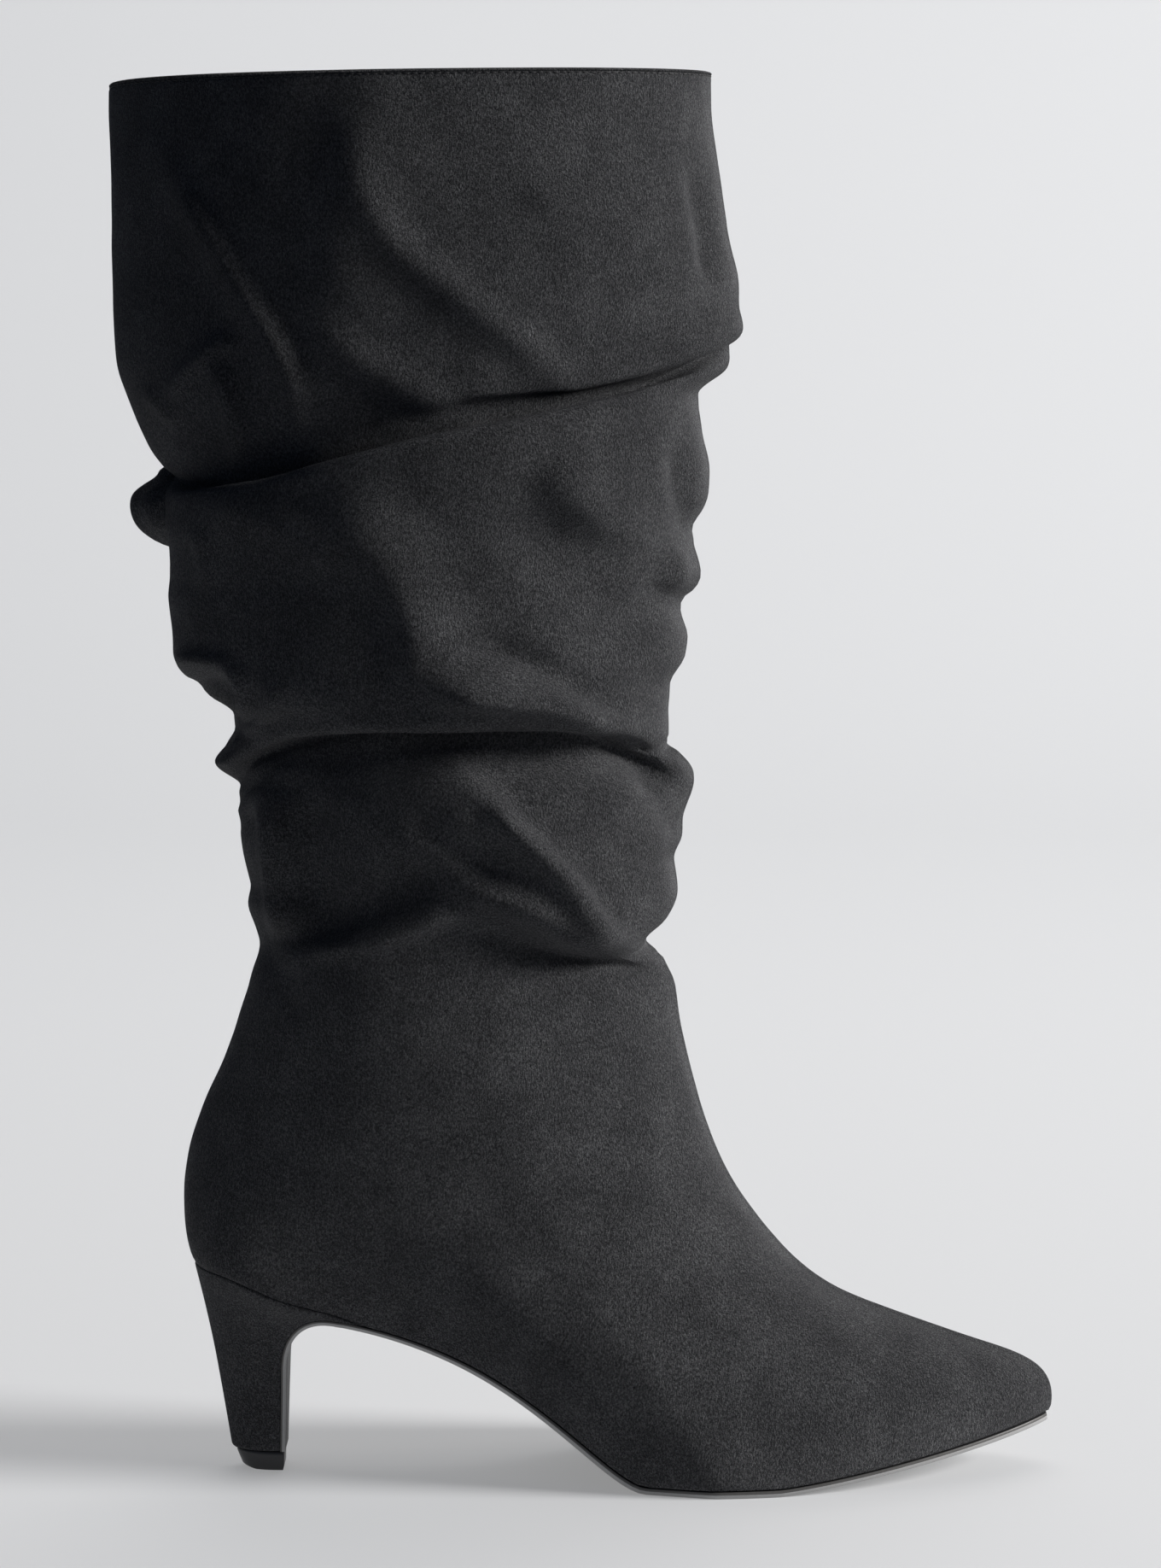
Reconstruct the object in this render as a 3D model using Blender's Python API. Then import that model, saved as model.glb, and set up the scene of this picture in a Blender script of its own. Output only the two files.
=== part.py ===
# A slouch boot for the right foot: a pull-on suede boot with a pointed toe and a slim covered heel.
# Metres, +X to the toe, +Y to the inner side of the foot, +Z up. The origin is the middle of the heel
# tip's underside. A share is a part of the named size that is given beside its table.

import math
from collections import namedtuple

import bmesh
import bpy
from mathutils import Vector

# Heights above the floor
HEEL_HEIGHT = 0.0650       # the upper's lower edge at the back of the heel
SHAFT_START = 0.1390       # where the foot part of the upper ends and the shaft begins
BOOT_HEIGHT = 0.4224       # the collar at the back
COLLAR_RISE = 0.0036       # how much higher the collar is at the front
TOE_SPRING = 0.0140        # the sole's underside at the toe

# Lengths from back to front
FOOT_LENGTH = 0.2647       # the upper's lower edge at the back to the toe
HEEL_SETBACK = 0.0208      # the upper's lower edge at the back to the middle of the heel tip
BALL_FORWARD = 0.1380      # the middle of the heel tip to the middle of the ball
BALL_FLAT = 0.0400         # the stretch of sole at the ball that lies on the floor
ANKLE_LENGTH = 0.1343      # the upper at the shaft's start, front to back
ANKLE_FORWARD = 0.0612     # the middle of the heel tip to the middle of that length
COLLAR_LENGTH = 0.1793     # the collar, front to back
COLLAR_FORWARD = 0.0472    # the middle of the heel tip to the middle of the collar

# Widths from side to side
SEAT_WIDTH = 0.0520
WAIST_WIDTH = 0.0470
BALL_WIDTH = 0.0825
ANKLE_WIDTH = 0.0740
COLLAR_WIDTH = 0.1040
TOE_SWING = 0.0040         # how far the toe leans to the inner side

# Thicknesses and gaps
WALL = 0.0018              # suede, backing and lining together
GAP = 0.0003               # between two pieces that rest on each other
SOLE_THICKNESS = 0.0023    # from the ball to the toe
WAIST_THICKNESS = 0.0016   # the same sole, skived thinner at the waist and down the heel
SOLE_INSET = 0.0006        # the sole's edge behind the upper's
SOLE_BEVEL = 0.0008        # the slant along the sole's lower edge
INSOLE_THICKNESS = 0.0028
INSOLE_CLEARANCE = 0.0009  # between the insole's edge and the upper's wall

# Heel
TIP_HEIGHT = 0.0060
TIP_LENGTH = 0.0130        # underside of the heel tip
TIP_WIDTH = 0.0140
STEM_LENGTH = 0.0168       # heel and sole together, just above the tip
STEM_WIDTH = 0.0166
STEM_ROUND = 0.0014        # the turned-in lower edge of the heel's cover
SOLE_OVERHANG = 0.0007     # the sole in front of the heel tip
HEEL_INSET = 0.0005        # the heel's top edge behind the upper's
BREAST_HEIGHT = 0.0320     # where the sole leaves the straight front of the heel
BREAST_LEAN = 0.0007       # how far that front leans forward
BREAST_CORNER = 0.0180     # length of the rounded corner above it
SHANK_HEIGHT = 0.0488      # underside of the sole at the end of the corner
SEAM_RUN = 0.0070          # from the corner's end to where upper and sole meet

# Folds of the shaft
FOLD_DROP = 0.0085         # how far a fold's two edges pass each other
FOLD_REACH = 0.0060        # how far a fold's edges stand apart, half of it
FOLD_LIP = 0.0060          # half height of the turn of a fold
FOLD_SWELL = 0.0095        # half height of the swelling around it

# Bends of the outlines, as exponents: 2 is an ellipse, more is squarer
SEAT_ROUND = 2.4           # the back of the seat, the heel's back and the tip's
STEM_EDGE = 3.0            # how late up the heel its loops begin to follow the seat
TOE_TAPER = 1.6            # the run from the ball to the toe
TOE_POINT = 0.70           # the end of that run: less is blunter
INSTEP_ROUND = (3.2, 2.2)  # behind the widest place of the vamp, and of the ankle
VAMP_ROUND = 2.2           # in front of the widest place
VAMP_POINT = (0.56, 0.50)  # the front end of the vamp, and of the ankle
SPRING_CURVE = 1.2         # the sole from the ball to the toe

# Points of a mesh
AROUND = 44                # points around the upper
HEEL_AROUND = 14           # steps around the heel's back
CORNER_STEPS = 6
STRAIGHT_STEPS = 3

FootRow = namedtuple("FootRow", "name back_out back_up front_out front_up sag egg swell ankle full")
FOOT_ROWS = (
    # back_out: share from the ankle's back to the seat's back; back_up: share from seat to shaft start
    # front_out: share from the ankle's front to the toe; front_up: share from toe edge to shaft start
    # sag: how much of the sole's dip the row follows; egg: from the sole's outline to an egg shape
    # swell: fuller than the sole's outline; ankle: from ball width to ankle width; full: share of it
    FootRow("edge", 1.00, 0.000, 0.992, 0.000, 1.00, 0.00, 0.00, 0.00, 1.00),
    FootRow("side", 1.11, 0.068, 1.000, 0.037, 0.98, 0.05, 0.02, 0.00, 1.00),
    FootRow("toe top", 1.17, 0.162, 0.987, 0.090, 0.93, 0.18, 0.03, 0.00, 1.00),
    FootRow("toe ridge", 1.18, 0.250, 0.923, 0.139, 0.85, 0.42, 0.03, 0.00, 0.98),
    FootRow("low vamp", 1.17, 0.331, 0.776, 0.185, 0.74, 0.66, 0.02, 0.10, 0.96),
    FootRow("vamp", 1.12, 0.405, 0.612, 0.243, 0.62, 0.85, 0.00, 0.20, 0.93),
    FootRow("high vamp", 1.06, 0.473, 0.466, 0.291, 0.50, 0.96, 0.00, 0.35, 0.92),
    FootRow("low instep", 0.96, 0.547, 0.348, 0.355, 0.38, 1.00, 0.00, 0.50, 0.91),
    FootRow("instep", 0.83, 0.615, 0.244, 0.451, 0.27, 1.00, 0.00, 0.62, 0.91),
    FootRow("high instep", 0.68, 0.696, 0.156, 0.566, 0.18, 1.00, 0.00, 0.74, 0.92),
    FootRow("throat", 0.49, 0.777, 0.089, 0.682, 0.10, 1.00, 0.00, 0.85, 0.94),
    FootRow("low ankle", 0.26, 0.872, 0.039, 0.824, 0.04, 1.00, 0.00, 0.94, 0.97),
    FootRow("ankle", 0.00, 1.000, 0.000, 1.000, 0.00, 1.00, 0.00, 1.00, 1.00),
)
FOOT_LEVELS = (0, 0.5, 1, 1.5, 2, 2.5, 3, 3.5, 4, 5, 6, 7, 8, 9, 10, 11)

SideRow = namedtuple("SideRow", "name along outer inner")
SIDE_ROWS = (
    # along: share of FOOT_LENGTH; outer and inner: share of half the named width
    SideRow("seat", 0.10, 1.00, 1.00),
    SideRow("waist", 0.30, 1.08, 0.92),
    SideRow("ball", None, 1.02, 0.98),
)

SEAT_LINE = (
    # share of the way from the seat's back to the sole, share of the drop
    (0.00, 0.000), (0.15, 0.045), (0.38, 0.290), (0.52, 0.490), (0.68, 0.640), (0.85, 0.800), (1.00, 1.000),
)
HEEL_BACK_LINE = (
    # share of the heel's height, share of its setback
    (0.00, 0.000), (0.33, 0.285), (0.56, 0.495), (0.79, 0.745), (1.00, 1.000),
)
HEEL_SPREAD = (
    # share of the heel's height, share of the way from stem width to seat width
    (0.00, 0.00), (0.25, 0.09), (0.50, 0.24), (0.75, 0.55), (1.00, 1.00),
)

# The shaft's outline from the side: share of the shaft's height, share of its half length there
FRONT_LINE = (
    (0.000, 1.000), (0.046, 0.940), (0.077, 0.899), (0.111, 0.929), (0.162, 0.954), (0.213, 0.973),
    (0.251, 1.012), (0.268, 1.013), (0.291, 0.957), (0.301, 0.910), (0.365, 0.914), (0.397, 0.979),
    (0.416, 0.990), (0.447, 0.957), (0.484, 1.016), (0.519, 0.988), (0.571, 1.034), (0.591, 1.036),
    (0.643, 1.000), (0.674, 0.997), (0.704, 1.095), (0.734, 1.104), (0.779, 1.113), (0.828, 1.085),
    (0.891, 1.044), (0.954, 1.011), (1.000, 1.000),
)
BACK_LINE = (
    (0.000, 1.000), (0.037, 0.936), (0.083, 0.881), (0.125, 0.877), (0.204, 0.885), (0.259, 0.883),
    (0.284, 0.924), (0.301, 0.902), (0.319, 0.868), (0.332, 0.868), (0.356, 0.960), (0.385, 1.055),
    (0.406, 1.068), (0.507, 1.032), (0.575, 0.975), (0.595, 1.007), (0.621, 1.049), (0.648, 1.077),
    (0.711, 1.112), (0.819, 1.077), (1.000, 1.000),
)
SHAFT_SPREAD = (
    # share of the shaft's height, share of the way from ankle width to collar width
    (0.000, 0.00), (0.073, 0.09), (0.202, 0.31), (0.265, 0.41), (0.313, 0.41), (0.365, 0.51),
    (0.442, 0.64), (0.581, 0.74), (0.710, 0.84), (0.888, 1.00), (1.000, 1.00),
)

# Folds, at eight places around the leg: back, outer back, outer side, outer front, front, inner front,
# inner side, inner back. height: share of the shaft's height; drop and reach: shares of FOLD_DROP and
# FOLD_REACH. A positive reach hangs the cloth above over the cloth below, a negative one tucks it in.
Fold = namedtuple("Fold", "name height drop reach")
FOLDS = (
    Fold("ankle fold",
         (0.070, 0.088, 0.133, 0.083, 0.056, 0.080, 0.115, 0.090),
         (0.10, 0.30, 0.55, 0.65, 0.10, 0.40, 0.50, 0.30),
         (0.00, 0.35, 0.65, 0.75, 0.00, 0.40, 0.50, 0.30)),
    Fold("middle fold",
         (0.282, 0.322, 0.334, 0.314, 0.268, 0.300, 0.318, 0.295),
         (0.30, 0.75, 0.90, 0.90, 0.25, 0.50, 0.70, 0.60),
         (0.20, 0.70, 0.90, 0.95, 0.15, 0.50, 0.70, 0.60)),
    Fold("top fold",
         (0.566, 0.577, 0.630, 0.679, 0.718, 0.660, 0.592, 0.566),
         (0.45, 0.90, 1.00, 0.90, 0.50, 0.40, 0.50, 0.70),
         (-0.35, -0.90, -1.00, -0.85, -0.25, -0.30, -0.50, -0.60)),
)
FOLD_LEVELS = (-2.5, -1.6, -1.0, -0.5, 0.0, 0.5, 1.0, 1.6, 2.5)    # in FOLD_LIPs from a fold's line
LEVELS_BETWEEN = (1, 1, 6, 5)                                     # below, between and above the folds

# The roll of cloth that stands out at the back of the inner side, under the top fold
ROLL_TURN = math.radians(-17)
ROLL_WIDTH = math.radians(11)
ROLL_HEIGHT = 0.550        # share of the shaft's height
ROLL_HALF_HEIGHT = 0.0105
ROLL_REACH = 0.0195

SHAFT_HEIGHT = BOOT_HEIGHT - SHAFT_START
SEAT_BACK = -HEEL_SETBACK
TOE = FOOT_LENGTH - HEEL_SETBACK
BALL_BACK = BALL_FORWARD - BALL_FLAT / 2
BALL_FRONT = BALL_FORWARD + BALL_FLAT / 2
STEM_FRONT = TIP_LENGTH / 2 + SOLE_OVERHANG
BREAST_FRONT = STEM_FRONT + BREAST_LEAN
SHANK = BREAST_FRONT + BREAST_CORNER
SEAT_FRONT = SHANK + SEAM_RUN
WEDGE_SHARE = 0.90         # where along the rounded corner the heel's top ends
CHIN = 0.0012              # the sole's front end behind the toe
SOLE_END = 0.0010          # half width of that end
SHOULDER = 0.45            # where the slant of the sole's edge begins, as a share of its thickness
INSOLE_END = 0.0080        # half width of the insole's ends, at least


def smooth(points, place):
    """The height at place of a curve through the points that never swings past them."""
    if place <= points[0][0]:
        return points[0][1]
    if place >= points[-1][0]:
        return points[-1][1]
    steps = [(b[0] - a[0], (b[1] - a[1]) / (b[0] - a[0])) for a, b in zip(points, points[1:])]
    slopes = [steps[0][1]]
    for (width, rise), (next_width, next_rise) in zip(steps, steps[1:]):
        if rise * next_rise <= 0:
            slopes.append(0.0)
        else:
            one, two = 2 * next_width + width, next_width + 2 * width
            slopes.append((one + two) / (one / rise + two / next_rise))
    slopes.append(steps[-1][1])
    at = next(i for i in range(len(steps)) if place <= points[i + 1][0])
    width = steps[at][0]
    t = (place - points[at][0]) / width
    return (points[at][1] * (1 + 2 * t) * (1 - t) ** 2 + points[at + 1][1] * t * t * (3 - 2 * t)
            + width * (slopes[at] * t * (1 - t) ** 2 - slopes[at + 1] * t * t * (1 - t)))


def mix(a, b, share):
    return a + (b - a) * share


def bezier(points, t):
    a, b, c, d = points
    return [a[i] * (1 - t) ** 3 + 3 * b[i] * t * (1 - t) ** 2 + 3 * c[i] * t * t * (1 - t) + d[i] * t ** 3
            for i in range(2)]


# The underside of the sole in the boot's middle plane

CORNER_CURVE = (
    # from straight up the heel's front, over a rounded corner, to the shank
    (BREAST_FRONT, BREAST_HEIGHT),
    (BREAST_FRONT, mix(BREAST_HEIGHT, SHANK_HEIGHT, 0.65)),
    (mix(BREAST_FRONT, SHANK, 0.30), mix(BREAST_HEIGHT, SHANK_HEIGHT, 1.10)),
    (SHANK, SHANK_HEIGHT),
)
ARCH_CURVE = (
    # from the shank down to the back of the ball
    (SHANK, SHANK_HEIGHT),
    (mix(SHANK, BALL_BACK, 0.59), 0.775 * SHANK_HEIGHT),
    (mix(SHANK, BALL_BACK, 0.85), 0.0),
    (BALL_BACK, 0.0),
)
FINE = 0.0005              # half a step along a curve, to read its slope


def under_sole(x):
    if x >= BALL_FRONT:
        return TOE_SPRING * ((x - BALL_FRONT) / (TOE - BALL_FRONT)) ** SPRING_CURVE
    if x >= BALL_BACK:
        return 0.0
    low, high = 0.0, 1.0
    for _ in range(30):
        middle = (low + high) / 2
        if bezier(ARCH_CURVE, middle)[0] < x:
            low = middle
        else:
            high = middle
    return bezier(ARCH_CURVE, low)[1]


def sole_thickness(x):
    share = min(max((x - SHANK) / (BALL_BACK - SHANK), 0.0), 1.0)
    return mix(WAIST_THICKNESS, SOLE_THICKNESS, share)


def over_sole(x):
    slope = (under_sole(x + FINE) - under_sole(x - FINE)) / (2 * FINE)
    return under_sole(x) + sole_thickness(x) * math.hypot(1.0, slope)


def seat_height(x):
    """Height of the upper's lower edge: over the heel along the seat line, then over the sole."""
    if x >= SEAT_FRONT:
        return over_sole(x) + GAP
    drop = HEEL_HEIGHT - over_sole(SEAT_FRONT) - GAP
    return HEEL_HEIGHT - drop * smooth(SEAT_LINE, (x - SEAT_BACK) / (SEAT_FRONT - SEAT_BACK))


# Plan outline of the upper's lower edge

def outline(share, side):
    """Half width at a share of the foot's length, side -1 for the outer and 1 for the inner side."""
    ball = (BALL_FORWARD + HEEL_SETBACK) / FOOT_LENGTH
    widths = {"seat": SEAT_WIDTH, "waist": WAIST_WIDTH, "ball": BALL_WIDTH}
    points = [(ball if row.along is None else row.along,
               widths[row.name] / 2 * (row.outer if side < 0 else row.inner)) for row in SIDE_ROWS]
    half = smooth(points, share)
    heel_round = points[0][0]
    if share < heel_round:
        half *= math.sqrt(1 - (1 - share / heel_round) ** SEAT_ROUND)
    if share > ball:
        half *= (1 - ((share - ball) / (1 - ball)) ** TOE_TAPER) ** TOE_POINT
    return half


def outline_at(x, side):
    return outline(min(max((x - SEAT_BACK) / FOOT_LENGTH, 0.0), 1.0), side)


def swing(x):
    return TOE_SWING * max(0.0, (x - BALL_FORWARD) / (TOE - BALL_FORWARD)) ** 2


def egg(share, ankle):
    """Half width, 0 to 1, of the egg shape that the upper's higher rows take."""
    widest = mix((BALL_FORWARD + HEEL_SETBACK) / FOOT_LENGTH, 0.5, ankle)
    if share < widest:
        return math.sqrt(1 - (1 - share / widest) ** mix(*INSTEP_ROUND, ankle))
    return (1 - ((share - widest) / (1 - widest)) ** VAMP_ROUND) ** mix(*VAMP_POINT, ankle)


# Upper, foot part

def foot_column(level, column):
    return smooth([(i, getattr(row, column)) for i, row in enumerate(FOOT_ROWS)], level)


def foot_point(turn, level):
    """A point of the foot part; turn runs from the back over the outer side to the front and on."""
    share = (1 - math.cos(turn)) / 2
    side = -1 if math.sin(turn) >= 0 else 1
    ankle_back = ANKLE_FORWARD - ANKLE_LENGTH / 2
    ankle_front = ANKLE_FORWARD + ANKLE_LENGTH / 2
    toe_edge = over_sole(TOE) + GAP
    back_x = mix(ankle_back, SEAT_BACK, foot_column(level, "back_out"))
    back_z = mix(HEEL_HEIGHT, SHAFT_START, foot_column(level, "back_up"))
    front_x = mix(ankle_front, TOE, foot_column(level, "front_out"))
    front_z = mix(toe_edge, SHAFT_START, foot_column(level, "front_up"))
    x = mix(back_x, front_x, share)
    edge_x = mix(SEAT_BACK, mix(ankle_front, TOE, FOOT_ROWS[0].front_out), share)
    edge_end = seat_height(mix(ankle_front, TOE, FOOT_ROWS[0].front_out))
    dip = mix(HEEL_HEIGHT, edge_end, share) - seat_height(edge_x)
    z = mix(back_z, front_z, share) - dip * foot_column(level, "sag")
    ankle = foot_column(level, "ankle")
    flat = outline(share, side) * (1 + foot_column(level, "swell"))
    round_half = egg(share, ankle) * mix(BALL_WIDTH, ANKLE_WIDTH, ankle) / 2 * foot_column(level, "full")
    half = mix(flat, round_half, foot_column(level, "egg"))
    return Vector((x, side * half + swing(x), z))


# Upper, shaft part

def around(values, turn):
    """A value between eight places around the leg."""
    place = (turn / (2 * math.pi) * len(values)) % len(values)
    at = int(place)
    t = place - at
    a, b, c, d = (values[(at + i) % len(values)] for i in (-1, 0, 1, 2))
    return b + t * ((c - a) / 2 + t * (a - 2.5 * b + 2 * c - d / 2 + t * (1.5 * (b - c) + (d - a) / 2)))


def turn_over(distance, span):
    """-1 to 1 and back to 0 on each side of a fold's line."""
    s = distance / span
    return s * math.exp((1 - s * s) / 2)


def shaft_point(turn, z):
    """A point of the shaft whose cloth, were it pulled straight, would lie at height z."""
    share = (z - SHAFT_START) / SHAFT_HEIGHT
    middle = mix(ANKLE_FORWARD, COLLAR_FORWARD, share)
    half_length = mix(ANKLE_LENGTH, COLLAR_LENGTH, share) / 2
    half_width = mix(ANKLE_WIDTH, COLLAR_WIDTH, smooth(SHAFT_SPREAD, share)) / 2
    front = middle + half_length * smooth(FRONT_LINE, share)
    back = middle - half_length * smooth(BACK_LINE, share)
    along = (1 - math.cos(turn)) / 2
    x = mix(back, front, along)
    side = -1 if math.sin(turn) >= 0 else 1
    y = side * half_width * egg(along, 1.0)
    out = Vector((-math.cos(turn) / half_length, -math.sin(turn) / half_width, 0)).normalized()
    push = 0.0
    drop = 0.0
    for fold in FOLDS:
        away = z - fold_height(fold, turn)
        push += FOLD_REACH * around(fold.reach, turn) * turn_over(away, FOLD_SWELL)
        drop += FOLD_DROP * around(fold.drop, turn) * turn_over(away, FOLD_LIP)
    roll_turn = math.remainder(turn - ROLL_TURN, 2 * math.pi) / ROLL_WIDTH
    roll_up = (z - SHAFT_START - SHAFT_HEIGHT * ROLL_HEIGHT) / ROLL_HALF_HEIGHT
    push += ROLL_REACH * math.exp(-roll_turn ** 2 - abs(roll_up) ** 3)
    return Vector((x, y, z - drop)) + out * push


def fold_height(fold, turn):
    return SHAFT_START + SHAFT_HEIGHT * around(fold.height, turn)


def collar_height(turn):
    return BOOT_HEIGHT + COLLAR_RISE * math.sqrt((1 - math.cos(turn)) / 2)


def shaft_levels(turn):
    """Heights of the shaft's loops at one turn: close together at each fold, even between them."""
    heights = [SHAFT_START]
    for fold, between in zip(FOLDS, LEVELS_BETWEEN):
        line = fold_height(fold, turn)
        first = line + FOLD_LEVELS[0] * FOLD_LIP
        heights += even_steps(heights[-1], first, between)
        heights += [line + level * FOLD_LIP for level in FOLD_LEVELS]
    heights += even_steps(heights[-1], collar_height(turn), LEVELS_BETWEEN[-1])
    return heights + [collar_height(turn)]


def even_steps(low, high, count):
    return [mix(low, high, (i + 1) / (count + 1)) for i in range(count)]


def upper_loops():
    turns = [2 * math.pi * i / AROUND for i in range(AROUND)]
    columns = []
    for turn in turns:
        column = [foot_point(turn, level) for level in FOOT_LEVELS]
        column += [shaft_point(turn, z) for z in shaft_levels(turn)]
        columns.append(column)
    return [list(loop) for loop in zip(*columns)]


def inner_loops(outer):
    """The outer loops moved in by the wall, square to the surface."""
    inner = []
    for level, loop in enumerate(outer):
        below = outer[max(level - 1, 0)]
        above = outer[min(level + 1, len(outer) - 1)]
        row = []
        for i, point in enumerate(loop):
            ahead = loop[(i + 1) % AROUND] - loop[i - 1]
            up = above[i] - below[i]
            moved = point + up.cross(ahead).normalized() * WALL
            if level == 0:
                moved.z = seat_height(moved.x)
            if level == len(outer) - 1:
                moved.z = point.z
            row.append(moved)
        inner.append(row)
    return inner


# Building

def material(name, colour, roughness):
    made = bpy.data.materials.new(name)
    made.use_nodes = True
    shader = made.node_tree.nodes["Principled BSDF"]
    shader.inputs["Base Color"].default_value = (*colour, 1.0)
    shader.inputs["Roughness"].default_value = roughness
    shader.inputs["Metallic"].default_value = 0.0
    made.diffuse_color = (*colour, 1.0)
    return made


def mesh_object(name, points, faces, finish):
    mesh = bpy.data.meshes.new(name)
    mesh.from_pydata([tuple(p) for p in points], [], faces)
    build = bmesh.new()
    build.from_mesh(mesh)
    bmesh.ops.recalc_face_normals(build, faces=build.faces)
    build.to_mesh(mesh)
    build.free()
    mesh.materials.append(finish)
    mesh.shade_smooth()
    mesh.set_sharp_from_angle(angle=math.radians(35))
    made = bpy.data.objects.new(name, mesh)
    bpy.context.scene.collection.objects.link(made)
    return made


def rings_to_faces(rings, count, closed_ends):
    """Quads between rings of count points, with both end rings filled when closed_ends is set."""
    faces = []
    for ring in range(rings - 1):
        for i in range(count):
            j = (i + 1) % count
            faces.append((ring * count + i, ring * count + j, (ring + 1) * count + j, (ring + 1) * count + i))
    if closed_ends:
        faces.append(tuple(range(count)))
        faces.append(tuple(range((rings - 1) * count, rings * count)))
    return faces


def make_upper(finish):
    outer = upper_loops()
    inner = inner_loops(outer)
    rings = outer + inner[::-1]
    faces = rings_to_faces(len(rings), AROUND, False)
    last = (len(rings) - 1) * AROUND
    for i in range(AROUND):
        j = (i + 1) % AROUND
        faces.append((last + i, last + j, j, i))
    return mesh_object("upper", [p for ring in rings for p in ring], faces, finish)


# Sole, heel and tip share the line down the front of the heel

def breast_stations():
    """Points down the sole's underside from the heel tip to the shank, each with its outward normal."""
    bottom = TIP_HEIGHT + GAP
    shares = [0.0, STEM_ROUND / (BREAST_HEIGHT - bottom)] + [i / STRAIGHT_STEPS for i in range(1, STRAIGHT_STEPS)]
    points = [(mix(STEM_FRONT, BREAST_FRONT, share), mix(bottom, BREAST_HEIGHT, share)) for share in shares]
    shares = [WEDGE_SHARE * i / CORNER_STEPS for i in range(CORNER_STEPS + 1)] + [1.0]
    points += [tuple(bezier(CORNER_CURVE, t)) for t in shares]
    stations = []
    for i, point in enumerate(points):
        before = points[max(i - 1, 0)]
        after = points[i + 1] if i + 1 < len(points) else (point[0] + 0.004, under_sole(point[0] + 0.004))
        run, rise = after[0] - before[0], after[1] - before[1]
        size = math.hypot(run, rise)
        stations.append((point, (-rise / size, run / size)))
    stations[0] = (stations[0][0], (-1.0, 0.0))
    return stations


def climb_shares():
    """Share of the way up the heel at each breast station that the heel reaches."""
    points = [station[0] for station in breast_stations()][:-1]
    lengths = [0.0]
    for a, b in zip(points, points[1:]):
        lengths.append(lengths[-1] + math.dist(a, b))
    return [length / (lengths[-1] + CHIN) for length in lengths]


def stem_half(climb, x, side):
    """Half width of heel and sole along the breast: from the stem's to the upper's outline."""
    return mix(STEM_WIDTH / 2, outline_at(x, side) - HEEL_INSET, smooth(HEEL_SPREAD, climb))


def sole_ring(low, high, outer, inner, middle):
    """Six points around the sole at one station, with the slant along its lower edges."""
    shoulder = [mix(high[i], low[i], SHOULDER) for i in range(2)]
    bevel = min(SOLE_BEVEL, min(outer, inner) / 2)
    return [
        (high[0], middle - outer, high[1]), (shoulder[0], middle - outer, shoulder[1]),
        (low[0], middle - outer + bevel, low[1]), (low[0], middle + inner - bevel, low[1]),
        (shoulder[0], middle + inner, shoulder[1]), (high[0], middle + inner, high[1]),
    ]


def foot_stations(first):
    """Places along the foot where the upper's lower edge has its points, from first to the toe."""
    edge = mix(ANKLE_FORWARD + ANKLE_LENGTH / 2, TOE, FOOT_ROWS[0].front_out)
    places = [mix(SEAT_BACK, edge, (1 - math.cos(2 * math.pi * i / AROUND)) / 2) for i in range(AROUND // 2 + 1)]
    return [x for x in places if x > first]


def make_outsole(finish):
    rings = []
    stations = breast_stations()
    climbs = climb_shares()
    for i, (point, normal) in enumerate(stations):
        back = (point[0] + normal[0] * WAIST_THICKNESS, point[1] + normal[1] * WAIST_THICKNESS)
        if i < len(climbs):
            outer, inner = (stem_half(climbs[i], max(point[0], back[0]), side) for side in (-1, 1))
        else:
            outer, inner = (outline_at(point[0], side) - SOLE_INSET for side in (-1, 1))
        if i == 0:
            back = (back[0], point[1])
        rings.append(sole_ring(point, back, outer, inner, 0.0))
    for x in foot_stations(SHANK)[:-1]:
        outer, inner = (max(outline_at(x, side) - SOLE_INSET, SOLE_END) for side in (-1, 1))
        rings.append(sole_ring((x, under_sole(x)), (x, over_sole(x)), outer, inner, swing(x)))
    end = foot_stations(SHANK)[-1] - CHIN
    rings.append(sole_ring((end, under_sole(end)), (end, over_sole(end)), SOLE_END, SOLE_END, swing(end)))
    return mesh_object("outsole", [p for ring in rings for p in ring], rings_to_faces(len(rings), 6, True), finish)


def heel_loop(back, front, climb, bow):
    """D-shaped loop: around the back from the outer front corner to the inner one."""
    loop = []
    for k in range(HEEL_AROUND + 1):
        angle = math.pi * (k / HEEL_AROUND - 0.5)
        share = 1 - math.cos(angle)
        side = -1 if angle < 0 else 1
        x = mix(back[0], front[0], share)
        seat_share = mix(SEAT_BACK + HEEL_INSET, front[0], share)
        stem = STEM_WIDTH / 2 * math.sqrt(1 - (1 - share) ** SEAT_ROUND)
        full = max(outline_at(seat_share, side) - HEEL_INSET, 0.0)
        half = 0.0 if share < 1e-9 else mix(stem, full, smooth(HEEL_SPREAD, climb))
        chord = mix(HEEL_HEIGHT, seat_height(front[0]), share)
        z = mix(back[1], front[1], share) + bow * (seat_height(x) - chord)
        loop.append((x, side * half, z))
    return loop


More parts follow.
